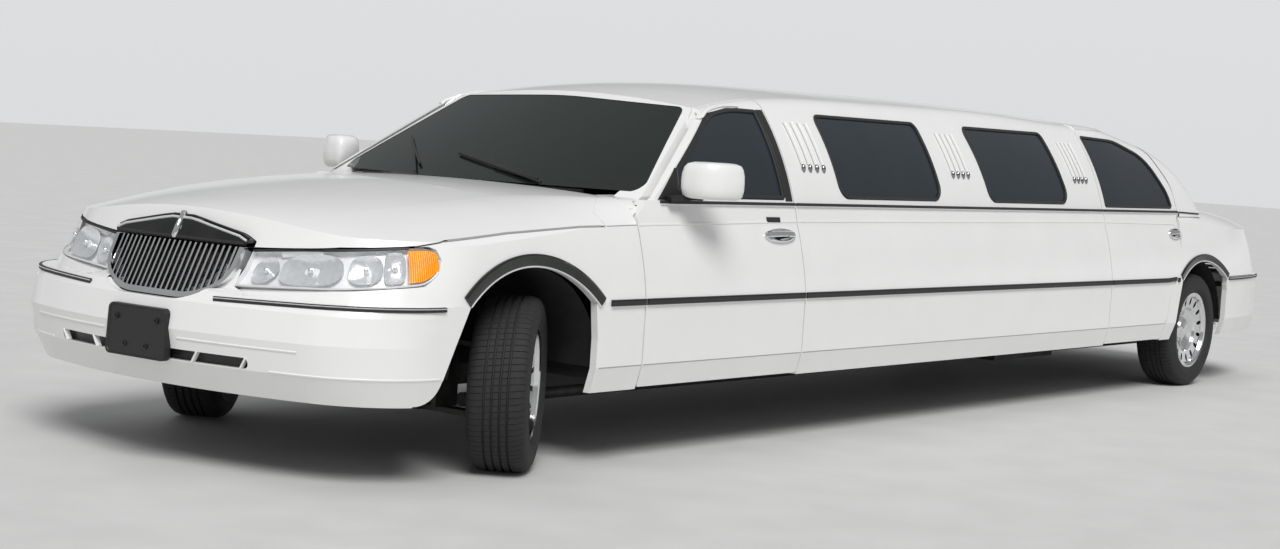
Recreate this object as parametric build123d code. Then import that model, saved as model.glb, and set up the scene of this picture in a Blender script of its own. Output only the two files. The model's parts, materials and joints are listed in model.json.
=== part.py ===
from build123d import *
import os
from math import asin, atan2, cos, hypot, pi, radians, sin, sqrt, tan

# Millimetres. +X runs forward, +Y to the left, +Z up, with Z = 0 on the ground.

# Overall lengths
BASE_WHEELBASE = 2990.0
STRETCH = 3048.0
FRONT_OVERHANG = 1067.0
REAR_OVERHANG = 1412.0
PLATE_PROUD = 13.0
WHEELBASE = BASE_WHEELBASE + STRETCH
FRONT_AXLE = (WHEELBASE + REAR_OVERHANG - FRONT_OVERHANG - PLATE_PROUD) / 2
REAR_AXLE = FRONT_AXLE - WHEELBASE

# Wheels and steering
TYRE_RADIUS = 328.0
TYRE_WIDTH = 226.0
RIM_RADIUS = 218.0
FRONT_TRACK = 1610.0
REAR_TRACK = 1659.0
KINGPIN_Y = 770.0
STEER_REST = 33.0

# Body side, from the sill up
SILL_Z = 292.0
SILL_HALF = 959.0
CREASE_Z = 388.0
CREASE_HALF = 984.0
WAIST_Z = 640.0
WAIST_HALF = 985.0
FLANK_Z = 800.0
FLANK_HALF = 956.0
SHOULDER_Z = 925.0
SHOULDER_HALF = 920.0
BELT_Z = 1020.0
SIDE_WALL = 112.0
GLASS_BELT_HALF = 893.0
GLASS_TOP_Z = 1420.0
SIDE_BULGE = 22.0
PILLAR_WALL = 45.0
RAIL_Z = 1450.0
ROOF_CORNER = 110.0
PANEL_GAP = 8.0
SEAT_GAP = 0.3
FLOOR_Z = 330.0
FLOOR_THICK = 40.0

# Ends of the plan outline
NOSE_RADIUS = 2300.0
TAIL_RADIUS = 6500.0
NOSE_SWEEP_RADIUS = 9000.0
NOSE_SWEEP_FROM_AXLE = 150.0
TAIL_SWEEP_RADIUS = 3200.0
TAIL_SWEEP_FROM_AXLE = -250.0

# Bumper levels: z, half width, nose ahead of front axle, tail behind rear axle, corner radii
BUMPER_LEVELS = [
    (SILL_Z, SILL_HALF, 985.0, 1370.0, 375.0, 430.0),
    (CREASE_Z, CREASE_HALF, 1045.0, 1400.0, 400.0, 450.0),
    (500.0, CREASE_HALF, FRONT_OVERHANG, REAR_OVERHANG, 410.0, 455.0),
    (600.0, WAIST_HALF, 1050.0, 1400.0, 410.0, 455.0),
    (WAIST_Z, WAIST_HALF, 1022.0, 1360.0, 410.0, 455.0),
]
# Body levels above the bumpers, with the same columns
BODY_LEVELS = [
    (WAIST_Z, WAIST_HALF, 968.0, 1285.0, 450.0, 500.0),
    (FLANK_Z, FLANK_HALF, 892.0, 1262.0, 480.0, 550.0),
    (SHOULDER_Z, SHOULDER_HALF, 836.0, 1220.0, 490.0, 560.0),
]
TOP_LEVEL = (1060.0, 889.0, 770.0, 1180.0, 480.0, 560.0)

# Hood crown: x ahead of the front axle, centre z, shoulder y and z, crease y and z
HOOD_STATIONS = [
    (-850.0, 1050.0, 780.0, 1026.0, 922.0, 926.0),
    (-600.0, 1047.0, 770.0, 1023.0, 921.0, 925.0),
    (-200.0, 1042.0, 610.0, 1013.0, 918.0, 913.0),
    (200.0, 1012.0, 590.0, 980.0, 916.0, 888.0),
    (550.0, 972.0, 520.0, 937.0, 910.0, 852.0),
    (800.0, 927.0, 440.0, 892.0, 880.0, 800.0),
    (980.0, 866.0, 400.0, 828.0, 860.0, 720.0),
]
# Rear deck crown: x from the rear axle, the same columns
DECK_STATIONS = [
    (320.0, 1058.0, 800.0, 1035.0, 922.0, 929.0),
    (-50.0, 1053.0, 790.0, 1030.0, 921.0, 927.0),
    (-420.0, 1043.0, 730.0, 1018.0, 917.0, 916.0),
    (-780.0, 1023.0, 670.0, 992.0, 908.0, 893.0),
    (-1050.0, 992.0, 620.0, 955.0, 892.0, 850.0),
    (-1240.0, 945.0, 580.0, 905.0, 880.0, 790.0),
]
# Roof: x from the front axle, centre z, roof radius across, half width at the glass top
ROOF_FRONT = [
    (-620.0, 1335.0, 4400.0, 660.0),
    (-1278.0, 1440.0, 4400.0, 672.0),
    (-1750.0, 1500.0, 4400.0, 692.0),
    (-2300.0, 1522.0, 4400.0, 700.0),
    (-3000.0, 1528.0, 4400.0, 701.0),
]
# Roof: x from the rear axle, with the same columns
ROOF_REAR = [
    (1900.0, 1525.0, 4400.0, 701.0),
    (1150.0, 1510.0, 4300.0, 701.0),
    (700.0, 1477.0, 4000.0, 700.0),
    (350.0, 1424.0, 3400.0, 698.0),
    (120.0, 1352.0, 2600.0, 696.0),
    (-60.0, 1250.0, 1900.0, 694.0),
    (-220.0, 1105.0, 1650.0, 692.0),
    (-320.0, 985.0, 1600.0, 690.0),
]

# Windscreen: x ahead of the front axle on the centre line, and its edges
SCREEN_BASE_X = -560.0
SCREEN_BASE_Z = 1040.0
SCREEN_BASE_HALF = 826.0
SCREEN_TOP_Z = 1422.0
SCREEN_TOP_HALF = 606.0
SCREEN_CORNER_X = -718.0
SCREEN_CORNER_HALF = 811.0
SCREEN_SLOPE = 1.794
SCREEN_WALL = 70.0
BACKLIGHT_BASE_HALF = 660.0
BACKLIGHT_TOP_HALF = 560.0
BACKLIGHT_BASE_Z = 1075.0
BACKLIGHT_TOP_Z = 1415.0

# Door and side window stations, from the front axle
FRONT_DOOR_FRONT = -600.0
FRONT_DOOR_REAR = -1730.0
REAR_DOOR_FRONT = -1740.0 - STRETCH
DOOR_BOTTOM = 300.0
DOOR_INSET = 20.0
RAIL_INNER_Y = 628.0
DOOR_FOOT_Y = 850.0

# Cabin ends
DASH_X = -640.0
BULKHEAD_X = -120.0

# Hood and boot lid
LID_FRONT_X = -275.0
LID_HALF = 610.0
LID_BOTTOM_Z = 668.0
SHELL = 30.0
SEAM = 4.0

# Wheel arches: crown height
ARCH_CROWN_Z = 775.0
REAR_ARCH_CROWN_Z = 737.0

# Glass lies this far under the outer surface
GLASS_OUT = 3.0
GLASS_IN = 8.0


def front(distance):
    return FRONT_AXLE + distance


def rear(distance):
    return REAR_AXLE + distance


def line(start, end):
    return Edge.make_line(start, end)


def arc(start, middle, end):
    return Edge.make_three_point_arc(start, middle, end)


def box(x0, x1, y0, y1, z0, z1):
    return Pos((x0 + x1) / 2, (y0 + y1) / 2, (z0 + z1) / 2) * Box(abs(x1 - x0), abs(y1 - y0), abs(z1 - z0))


def mirrored(shape):
    return mirror(shape, about=Plane.XZ)


def both_sides(shape):
    return [shape, mirrored(shape)]


def toward(center, radius, a, b):
    dx = (a[0] + b[0]) / 2 - center[0]
    dy = (a[1] + b[1]) / 2 - center[1]
    size = hypot(dx, dy)
    return (center[0] + dx / size * radius, center[1] + dy / size * radius)


def on_circle(center, through, radius):
    size = hypot(through[0] - center[0], through[1] - center[1])
    return (center[0] + (through[0] - center[0]) * radius / size,
            center[1] + (through[1] - center[1]) * radius / size)


def inner_circle(first, first_radius, second, second_radius, radius, way):
    """Centre of the circle that touches two larger circles from inside."""
    dx = second[0] - first[0]
    dy = second[1] - first[1]
    gap = hypot(dx, dy)
    along = ((first_radius - radius) ** 2 - (second_radius - radius) ** 2 + gap ** 2) / (2 * gap)
    off = sqrt((first_radius - radius) ** 2 - along ** 2)
    foot = (first[0] + along * dx / gap, first[1] + along * dy / gap)
    choices = [(foot[0] - off * dy / gap, foot[1] + off * dx / gap),
               (foot[0] + off * dy / gap, foot[1] - off * dx / gap)]
    return max(choices, key=lambda c: c[0] * way)


def plan_corner(half_width, end_x, end_radius, corner_radius, sweep_x, sweep_radius, way):
    """Tangent points and arc centres of one left corner of a plan outline."""
    sweep = (sweep_x, half_width - sweep_radius)
    end = (end_x - way * end_radius, 0.0)
    center = inner_circle(sweep, sweep_radius, end, end_radius, corner_radius, way)
    on_sweep = on_circle(sweep, center, sweep_radius)
    on_end = on_circle(end, center, end_radius)
    start = (sweep_x, half_width)
    return (start, toward(sweep, sweep_radius, start, on_sweep), on_sweep,
            toward(center, corner_radius, on_sweep, on_end), on_end)


def plan_face(level, inset=0.0):
    """Whole plan outline of the car at one level, drawn in by inset."""
    z, half_width, nose, tail, nose_corner, tail_corner = level
    nose_x = front(nose - inset)
    tail_x = rear(-tail + inset)
    half = half_width - inset
    fore = plan_corner(half, nose_x, NOSE_RADIUS, nose_corner - inset,
                       front(NOSE_SWEEP_FROM_AXLE), NOSE_SWEEP_RADIUS, 1)
    aft = plan_corner(half, tail_x, TAIL_RADIUS, tail_corner - inset,
                      rear(TAIL_SWEEP_FROM_AXLE), TAIL_SWEEP_RADIUS, -1)

    def at(point, side):
        return (point[0], side * point[1], z)

    edges = [
        arc(at(fore[0], 1), at(fore[1], 1), at(fore[2], 1)),
        arc(at(fore[2], 1), at(fore[3], 1), at(fore[4], 1)),
        arc(at(fore[4], 1), (nose_x, 0, z), at(fore[4], -1)),
        arc(at(fore[4], -1), at(fore[3], -1), at(fore[2], -1)),
        arc(at(fore[2], -1), at(fore[1], -1), at(fore[0], -1)),
        line(at(fore[0], -1), at(aft[0], -1)),
        arc(at(aft[0], -1), at(aft[1], -1), at(aft[2], -1)),
        arc(at(aft[2], -1), at(aft[3], -1), at(aft[4], -1)),
        arc(at(aft[4], -1), (tail_x, 0, z), at(aft[4], 1)),
        arc(at(aft[4], 1), at(aft[3], 1), at(aft[2], 1)),
        arc(at(aft[2], 1), at(aft[1], 1), at(aft[0], 1)),
        line(at(aft[0], 1), at(fore[0], 1)),
    ]
    return Face(Wire(edges))


def lower_body(inset=0.0):
    """Bumpers and sills, up to the waist."""
    return loft([plan_face(level, inset) for level in BUMPER_LEVELS], ruled=True)


def upper_body(inset=0.0):
    """Flanks from the waist to above the belt."""
    flank = loft([plan_face(level, inset) for level in BODY_LEVELS])
    top = loft([plan_face(BODY_LEVELS[-1], inset), plan_face(TOP_LEVEL, inset)], ruled=True)
    return flank + top


def crown_face(x, centre_z, shoulder_y, shoulder_z, edge_y, edge_z, floor_z):
    """Section across a crowned panel: roof arc, shoulder arcs and falling sides."""
    rise = centre_z - shoulder_z
    radius = (shoulder_y ** 2 + rise ** 2) / (2 * rise)
    lean = asin(shoulder_y / radius)
    flare = 160.0
    edges = [arc((x, -shoulder_y, shoulder_z), (x, 0, centre_z), (x, shoulder_y, shoulder_z))]
    for side in (1, -1):
        shoulder = Vector(x, side * shoulder_y, shoulder_z)
        crease = Vector(x, side * edge_y, edge_z)
        outer = Vector(x, side * (edge_y + flare), edge_z - flare)
        edges.append(Edge.make_tangent_arc(shoulder, Vector(0, side * cos(lean), -sin(lean)), crease))
        edges.append(line(crease, outer))
        edges.append(line(outer, (x, side * (edge_y + flare), floor_z)))
    edges.append(line((x, edge_y + flare, floor_z), (x, -edge_y - flare, floor_z)))
    return Face(Wire(edges))


def hood_crown(drop=0.0):
    sections = [crown_face(front(row[0]), *row[1:], floor_z=400.0) for row in HOOD_STATIONS]
    return Pos(0, 0, -drop) * loft(sections)


def deck_crown(drop=0.0):
    sections = [crown_face(rear(row[0]), *row[1:], floor_z=400.0) for row in DECK_STATIONS]
    last = DECK_STATIONS[-1]
    end = crown_face(rear(last[0] - 160.0), last[1] - 75.0, last[2], last[3] - 80.0,
                     last[4], last[5] - 80.0, floor_z=400.0)
    return Pos(0, 0, -drop) * loft(sections + [end])


def roof_face(x, centre_z, roof_radius, top_half, inset=0.0):
    """Section across the greenhouse: barrel sides, rounded rails, crowned roof."""
    base_z = 500.0
    chord = (top_half - GLASS_BELT_HALF, GLASS_TOP_Z - BELT_Z)
    length = hypot(*chord)
    side_radius = (length ** 2 / 4 + SIDE_BULGE ** 2) / (2 * SIDE_BULGE)
    normal = (chord[1] / length, -chord[0] / length)
    back = side_radius - SIDE_BULGE
    side_hub = ((top_half + GLASS_BELT_HALF) / 2 - normal[0] * back,
                (GLASS_TOP_Z + BELT_Z) / 2 - normal[1] * back)
    roof_hub = (0.0, centre_z - roof_radius)
    side = side_radius - inset
    roof = roof_radius - inset
    corner = ROOF_CORNER - inset
    pivot = inner_circle(side_hub, side, roof_hub, roof, corner, 1)
    rail = on_circle(side_hub, pivot, side)
    on_roof = on_circle(roof_hub, pivot, roof)
    middle = toward(pivot, corner, rail, on_roof)
    foot = (side_hub[0] + sqrt(side ** 2 - (base_z - side_hub[1]) ** 2), base_z)
    waist = toward(side_hub, side, rail, foot)
    edges = [arc((x, -on_roof[0], on_roof[1]), (x, 0, centre_z - inset), (x, on_roof[0], on_roof[1]))]
    for way in (1, -1):
        edges.append(arc((x, way * on_roof[0], on_roof[1]), (x, way * middle[0], middle[1]),
                         (x, way * rail[0], rail[1])))
        edges.append(arc((x, way * rail[0], rail[1]), (x, way * waist[0], waist[1]),
                         (x, way * foot[0], foot[1])))
    edges.append(line((x, foot[0], foot[1]), (x, -foot[0], foot[1])))
    return Face(Wire(edges))


def roof_form(inset=0.0):
    rows = [(front(row[0]), *row[1:]) for row in ROOF_FRONT]
    rows += [(rear(row[0]), *row[1:]) for row in ROOF_REAR]
    return loft([roof_face(*row, inset=inset) for row in rows])


def ahead_of_screen(back=0.0):
    """Everything in front of the windscreen's surface, moved back by a distance."""
    low_z = 900.0
    high_z = 1650.0
    shift = (SCREEN_BASE_Z - low_z) * SCREEN_SLOPE
    sagitta = SCREEN_BASE_X - SCREEN_CORNER_X
    radius = (SCREEN_CORNER_HALF ** 2 + sagitta ** 2) / (2 * sagitta)
    half = 1150.0
    edge_x = SCREEN_BASE_X - (radius - sqrt(radius ** 2 - half ** 2))
    x = front(shift - back)
    far = 1800.0
    face = Face(Wire([
        arc((x + edge_x, -half, low_z), (x + SCREEN_BASE_X, 0, low_z), (x + edge_x, half, low_z)),
        line((x + edge_x, half, low_z), (x + far, half, low_z)),
        line((x + far, half, low_z), (x + far, -half, low_z)),
        line((x + far, -half, low_z), (x + edge_x, -half, low_z)),
    ]))
    rise = high_z - low_z
    return Solid.extrude(face, Vector(-rise * SCREEN_SLOPE, 0, rise))


def greenhouse(inset=0.0, screen_back=0.0):
    form = roof_form(inset) - ahead_of_screen(screen_back)
    return form & box(rear(-700), front(-200), -1200, 1200, BELT_Z - 30, 1700)


def outline(points, radii, y0=0.0, y1=1200.0):
    """Prism across the car from a rounded outline seen from the side, as x and z."""
    path = FilletPolyline(*[(x, y0, z) for x, z in points], radius=radii, close=True)
    return extrude(make_face(path), amount=y1 - y0, dir=(0, 1, 0))


def front_view_prism(points, radii, x0, x1):
    """Prism along the car from a rounded outline seen from the front, as y and z."""
    path = FilletPolyline(*[(x0, y, z) for y, z in points], radius=radii, close=True)
    return extrude(make_face(path), amount=x1 - x0, dir=(1, 0, 0))


def cabin_void():
    """Space inside the doors and walls, from the sill to the roof lining."""
    low_half = WAIST_HALF - SIDE_WALL
    low = box(rear(BULKHEAD_X), front(DASH_X), -low_half, low_half, 0, BELT_Z - 30)
    return low + greenhouse(PILLAR_WALL, SCREEN_WALL)


def side_prism(points, y0=0.0, y1=1200.0):
    """Prism across the car from a sharp outline seen from the side, as x and z."""
    face = make_face(Polyline(*[(x, y0, z) for x, z in points], close=True))
    return extrude(face, amount=y1 - y0, dir=(0, 1, 0))


def front_arch():
    """Opening of the left front wheel arch."""
    face = Face(Wire([
        arc((front(413), 600, 652), (front(55), 600, ARCH_CROWN_Z), (front(-288), 600, 640)),
        line((front(-288), 600, 640), (front(-308), 600, 500)),
        line((front(-308), 600, 500), (front(-308), 600, 100)),
        line((front(-308), 600, 100), (front(640), 600, 100)),
        line((front(640), 600, 100), (front(640), 600, 296)),
        arc((front(640), 600, 296), (front(575), 600, 318), (front(541), 600, 380)),
        line((front(541), 600, 380), (front(413), 600, 652)),
    ]))
    return extrude(face, amount=600, dir=(0, 1, 0))


def rear_arch():
    """Opening of the left rear wheel arch."""
    face = Face(Wire([
        arc((rear(310), 600, 632), (rear(-10), 600, REAR_ARCH_CROWN_Z), (rear(-326), 600, 640)),
        line((rear(-326), 600, 640), (rear(-350), 600, 560)),
        line((rear(-350), 600, 560), (rear(-358), 600, 100)),
        line((rear(-358), 600, 100), (rear(430), 600, 100)),
        line((rear(430), 600, 100), (rear(310), 600, 632)),
    ]))
    return extrude(face, amount=600, dir=(0, 1, 0))


def door_side(grow=0.0):
    """All that lies outside the slanted line where the doors meet roof and pillars."""
    g = 1.14 * grow
    points = [(DOOR_FOOT_Y - g, 200), (1200, 200), (1200, 1600), (RAIL_INNER_Y - 87 - g, 1600),
              (DOOR_FOOT_Y - g, BELT_Z + 12)]
    face = make_face(Polyline(*[(-5000, y, z) for y, z in points], close=True))
    return extrude(face, amount=10000, dir=(1, 0, 0))


def front_door_outline(grow=0.0):
    g = grow
    points = [
        (front(FRONT_DOOR_FRONT) + g, DOOR_BOTTOM - g),
        (front(FRONT_DOOR_FRONT) + g, BELT_Z - 60),
        (front(FRONT_DOOR_FRONT - 85) + g, BELT_Z + 12),
        (front(-1230) + g, 1430 + g),
        (front(-1330), RAIL_Z + 30 + g),
        (front(FRONT_DOOR_REAR) - g, RAIL_Z + 30 + g),
        (front(FRONT_DOOR_REAR) - g, DOOR_BOTTOM - g),
    ]
    return outline(points, [10, 60, 40, 60, 60, 30, 10], 500) & door_side(grow)


def rear_door_outline(grow=0.0):
    g = grow
    points = [
        (front(REAR_DOOR_FRONT) + g, DOOR_BOTTOM - g),
        (front(REAR_DOOR_FRONT) + g, RAIL_Z + g),
        (rear(860), RAIL_Z - 2 + g),
        (rear(470) - g, 1385 + g),
        (rear(285) - g, 1160 + g),
        (rear(265) - g, BELT_Z - 40),
        (rear(300) - g, 780),
        (rear(470) - g, 560),
        (rear(520) - g, DOOR_BOTTOM - g),
    ]
    return outline(points, [10, 30, 400, 300, 160, 200, 200, 120, 10], 500) & door_side(grow)


FRONT_GLASS = [(-900, 1032), (-935, 1150), (-1290, 1374), (-1480, 1408), (-1672, 1408), (-1668, 1032)]
FRONT_GLASS_RADII = [15, 40, 90, 200, 20, 15]
REAR_GLASS = [(-4828, 1032), (-4808, 1408), (-5198, 1398), (-5518, 1318), (-5683, 1120), (-5708, 1032)]
REAR_GLASS_RADII = [15, 20, 600, 320, 200, 20]
SIDE_WINDOWS = [
    [(-2125, 1042), (-2100, 1408), (-3010, 1408), (-3045, 1042)],
    [(-3520, 1042), (-3455, 1408), (-4330, 1408), (-4400, 1042)],
]
SIDE_WINDOW_RADII = [70, 45, 45, 70]
PANE_GAP = 0.4


def window_prism(points, radii):
    return outline([(front(x), z) for x, z in points], radii)


def pane(points, radii):
    """Glass that fills one side window with a small gap all round."""
    path = FilletPolyline(*[(front(x), 0, z) for x, z in points], radius=radii, close=True)
    face = offset(make_face(path), -PANE_GAP)
    return biggest(GLASS & extrude(face, amount=1200, dir=(0, 1, 0)) & door_side(-12.0))


def screen_opening(clearance=0.0):
    c = clearance
    points = [(-SCREEN_BASE_HALF + c, SCREEN_BASE_Z + 8 + c), (-SCREEN_TOP_HALF + c, SCREEN_TOP_Z - 24 - c),
              (0, SCREEN_TOP_Z - c), (SCREEN_TOP_HALF - c, SCREEN_TOP_Z - 24 - c),
              (SCREEN_BASE_HALF - c, SCREEN_BASE_Z + 8 + c)]
    return front_view_prism(points, [28, 60, 3000, 60, 28], front(-1450), front(-300))


def backlight_opening(clearance=0.0):
    c = clearance
    points = [(-BACKLIGHT_BASE_HALF + c, BACKLIGHT_BASE_Z + c),
              (-BACKLIGHT_TOP_HALF + c, BACKLIGHT_TOP_Z - c),
              (BACKLIGHT_TOP_HALF - c, BACKLIGHT_TOP_Z - c),
              (BACKLIGHT_BASE_HALF - c, BACKLIGHT_BASE_Z + c)]
    return front_view_prism(points, [90, 90, 90, 90], rear(-700), rear(600))


def hood_profile(lift):
    """All that lies above the hood's lower edge, seen from the side."""
    points = [(-720, 927), (-237, 916), (172, 892), (485, 864), (590, 842), (771, 822), (880, 792),
              (1100, 750), (1100, 1300), (-720, 1300)]
    return side_prism([(front(x), z + lift) for x, z in points], -1200, 1200)


def hood_plan(shift):
    """All that lies ahead of the hood's rear edge, seen from above."""
    x = front(shift)
    z = 700
    face = Face(Wire([
        arc((x - 630, -600, z), (x - 560, 0, z), (x - 630, 600, z)),
        line((x - 630, 600, z), (x - 560, 745, z)),
        line((x - 560, 745, z), (x - 400, 850, z)),
        line((x - 400, 850, z), (x - 380, 1100, z)),
        line((x - 380, 1100, z), (x + 1700, 1100, z)),
        line((x + 1700, 1100, z), (x + 1700, -1100, z)),
        line((x + 1700, -1100, z), (x - 380, -1100, z)),
        line((x - 380, -1100, z), (x - 400, -850, z)),
        line((x - 400, -850, z), (x - 560, -745, z)),
        line((x - 560, -745, z), (x - 630, -600, z)),
    ]))
    return extrude(face, amount=600, dir=(0, 0, 1))


# Headlamp: lower edge in side view, from the nose back
LAMP_BOTTOM = [(1100.0, 640.0), (928.0, 652.0), (830.0, 679.0), (700.0, 698.0)]


def lamp_band(grow=0.0):
    """Side view of the space between bumper and hood that a headlamp fills."""
    g = grow
    end = [(598 - g, 711 - g), (546 - g, 752), (523 - g, 800), (532 - g, 834), (556 - g, 842 + g)]
    top = [(771, 818 + g), (880, 788 + g), (1100, 746 + g)]
    low = [(x, z - g) for x, z in LAMP_BOTTOM]
    return side_prism([(front(x), z) for x, z in end + top + low])


def bumper_band():
    """Side view of the bumper skin between the waist and the headlamp."""
    rear_end = [(500, WAIST_Z), (545, WAIST_Z + SEAM), (545, LAMP_BOTTOM[-1][1] - 12 - 2 * SEAM)]
    top = [(x, z - 2 * SEAM) for x, z in reversed(LAMP_BOTTOM)]
    low = [(1100, WAIST_Z - 20), (500, WAIST_Z - 20)]
    return side_prism([(front(x), z) for x, z in rear_end + top + low])


def nose_slab(x, depth):
    """Curved and leaning slab along the nose, its face at x ahead of the axle at 800 high."""
    low_z = 560.0
    high_z = 940.0
    half = 420.0
    base = front(x) + (800.0 - low_z) * GRILLE_SLOPE
    sag = half ** 2 / (2 * NOSE_RADIUS)
    face = Face(Wire([
        arc((base - sag, -half, low_z), (base, 0, low_z), (base - sag, half, low_z)),
        line((base - sag, half, low_z), (base - sag - depth, half, low_z)),
        arc((base - sag - depth, half, low_z), (base - depth, 0, low_z), (base - sag - depth, -half, low_z)),
        line((base - sag - depth, -half, low_z), (base - sag, -half, low_z)),
    ]))
    rise = high_z - low_z
    return Solid.extrude(face, Vector(-rise * GRILLE_SLOPE, 0, rise))


def grille_outline(grow):
    """Front view of the grille: flat top, sides that round into one low curve."""
    g = grow
    points = [(-338 - g, 797), (-332 - g, 690), (-200, 606 - g),
              (200, 606 - g), (332 + g, 690), (338 + g, 797)]
    return front_view_prism(points, [2, 95, 290, 290, 95, 2], front(700), front(1200))


# Header over the grille: half of its upper edge as y and z, and corner radii
HEADER_EDGE = [(354.0, 818.0), (300.0, 841.0)]
HEADER_PEAK_Z = 892.0
HEADER_RADII = [8, 200, 900, 200, 8]


def header_top(grow):
    """Upper edge of the header in front view, from right to left."""
    left = [(y + grow, z + grow) for y, z in HEADER_EDGE]
    right = [(-y, z) for y, z in left]
    return right + [(0, HEADER_PEAK_Z + grow)] + left[::-1]


def header_outline(grow):
    points = [(-338 - grow, 803 - grow)] + header_top(grow) + [(338 + grow, 803 - grow)]
    return front_view_prism(points, [4] + HEADER_RADII + [4], front(700), front(1200))


# Grille
GRILLE_SLOPE = 0.475
GRILLE_FACE = 922.0
GRILLE_RIM = 20.0
GRILLE_BARS = 23
BAR_PITCH = 27.0
BAR_THICK = 9.0


def grille():
    """Waterfall of upright bars in one U-shaped surround, with a plate behind."""
    opening = grille_outline(-GRILLE_RIM)
    rim = nose_slab(GRILLE_FACE, 62.0) & (grille_outline(0) - opening)
    back = nose_slab(GRILLE_FACE - 50.0, 12.0) & grille_outline(-GRILLE_RIM + 2)
    first = -(GRILLE_BARS - 1) / 2 * BAR_PITCH
    face = nose_slab(GRILLE_FACE - 8.0, 48.0) & grille_outline(-GRILLE_RIM + 2)
    body = rim + back
    for index in range(GRILLE_BARS):
        y = first + index * BAR_PITCH
        body = body + (face & box(front(700), front(1200), y - BAR_THICK / 2, y + BAR_THICK / 2, 560, 797))
    return body


def hood_header():
    return nose_slab(GRILLE_FACE + 2, 46.0) & header_outline(0)


def cut_all(shape, cutters):
    for cutter in cutters:
        shape = shape - cutter
    return shape


def biggest(shape):
    return max(shape.solids(), key=lambda solid: solid.volume)


def keep_left(shape):
    return shape & box(-5000, 5000, 2, 1500, -100, 2000)


LOWER = lower_body()
LOWER_IN = lower_body(SHELL)
UPPER = upper_body()
UPPER_IN = upper_body(SHELL)
HOUSE = greenhouse()
HOUSE_LINED = greenhouse(GLASS_IN)
GLASS = greenhouse(GLASS_OUT) - HOUSE_LINED
CABIN = cabin_void()
HOOD_TOP = hood_crown()
DECK_TOP = deck_crown()
FLANK = (LOWER + UPPER) & box(rear(300), front(FRONT_DOOR_FRONT), -1100, 1100, 200, BELT_Z)
SKIN = keep_left((FLANK + HOUSE) - CABIN)
NOSE = (UPPER & HOOD_TOP) & box(front(FRONT_DOOR_FRONT) + PANEL_GAP, front(1200), -1100, 1100, WAIST_Z, 1300)
NOSE_IN = UPPER_IN & Pos(0, 0, -SHELL) * HOOD_TOP
NOSE_SHELL = NOSE - NOSE_IN
TAIL = (UPPER & DECK_TOP) & box(rear(-1400), rear(300), -1100, 1100, WAIST_Z, 1300)
TAIL_IN = UPPER_IN & Pos(0, 0, -SHELL) * DECK_TOP & box(rear(-1400), rear(BULKHEAD_X), -1100, 1100, 600, 1300)
TAIL_SHELL = TAIL - TAIL_IN


def lined(door_skin, ring):
    """Sets the inner thickness of a door back from its edge."""
    inner = (LOWER_IN + UPPER_IN) & box(-5000, 5000, 0, 1100, 200, BELT_Z - 20)
    return door_skin - (ring & inner) - (ring & HOUSE_LINED & box(-5000, 5000, 0, 1100, BELT_Z - 21, 1500))


def front_door():
    whole = SKIN & front_door_outline()
    ring = front_door_outline(2) - front_door_outline(-DOOR_INSET)
    return biggest(lined(whole, ring) - window_prism(FRONT_GLASS, FRONT_GLASS_RADII))


def rear_door():
    whole = SKIN & rear_door_outline()
    ring = rear_door_outline(2) - rear_door_outline(-DOOR_INSET)
    return biggest(lined(whole, ring) - window_prism(REAR_GLASS, REAR_GLASS_RADII))


def side_panel():
    """Stretched wall between the doors, with its two windows and three pillars."""
    rear_end = front(REAR_DOOR_FRONT) + PANEL_GAP
    stretch = box(rear_end, front(FRONT_DOOR_REAR) - PANEL_GAP, 0, 1200, SILL_Z, 1600)
    left = SKIN & stretch & door_side()
    return biggest(cut_all(left, [window_prism(points, SIDE_WINDOW_RADII) for points in SIDE_WINDOWS]))


def roof_panel():
    """Roof, windscreen pillars and their feet."""
    shell = (HOUSE - CABIN) & box(rear(ROOF_SPLIT), front(-400), -1200, 1200, BELT_Z - 30, 1700)
    shell = shell - screen_opening()
    shell = shell - box(front(-760), front(-300), -740, 740, 900, SCREEN_BASE_Z + 12)
    door_cut = front_door_outline(PANEL_GAP)
    foot = (HOOD_TOP & box(front(-800), front(-604), 700, 888, 985, 1060)) - door_cut
    stretch = box(front(REAR_DOOR_FRONT), front(FRONT_DOOR_REAR), 0, 1200, 0, 1600) & door_side(SEAT_GAP)
    cutters = [door_cut, rear_door_outline(PANEL_GAP), stretch]
    left = keep_left(shell + foot)
    left = biggest(cut_all(left, cutters))
    middle = shell & box(rear(ROOF_SPLIT), front(-400), -2, 2, RAIL_Z - 120, 1700)
    return biggest(left + middle + mirrored(left))


def rear_quarters():
    """Rear quarters with the pillars beside the rear window, the deck and the lamp surrounds."""
    skin = (HOUSE & box(rear(-700), rear(ROOF_SPLIT) - SEAM, -1200, 1200, BELT_Z - 30, 1700)) + TAIL
    skin = skin + (FLANK & box(rear(300), rear(ROOF_SPLIT), -1100, 1100, 0, BELT_Z))
    skin = skin + (LOWER & box(rear(-330), rear(300), -1100, 1100, SILL_Z, WAIST_Z))
    lower_room = LOWER_IN & box(rear(-400), rear(BULKHEAD_X), -1100, 1100, 200, WAIST_Z + 1)
    skin = skin - CABIN - TAIL_IN - lower_room
    left = keep_left(skin)
    cutters = [rear_door_outline(PANEL_GAP), rear_arch(), lid_zone(6.0), tail_lamp_zone(2.0),
               box(rear(520), rear(700), 0, 1200, 0, BELT_Z), backlight_opening(),
               box(rear(-1500), rear(-300), 0, 1200, 0, WAIST_Z + SEAM)]
    left = biggest(cut_all(left, cutters))
    middle = (skin & box(rear(-1500), rear(ROOF_SPLIT), -2, 2, WAIST_Z + SEAM, 1700))
    middle = middle - lid_zone(6.0) - mirrored(lid_zone(6.0)) - backlight_opening()
    return biggest(left + middle + mirrored(left))


ROOF_SPLIT = 640.0


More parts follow.
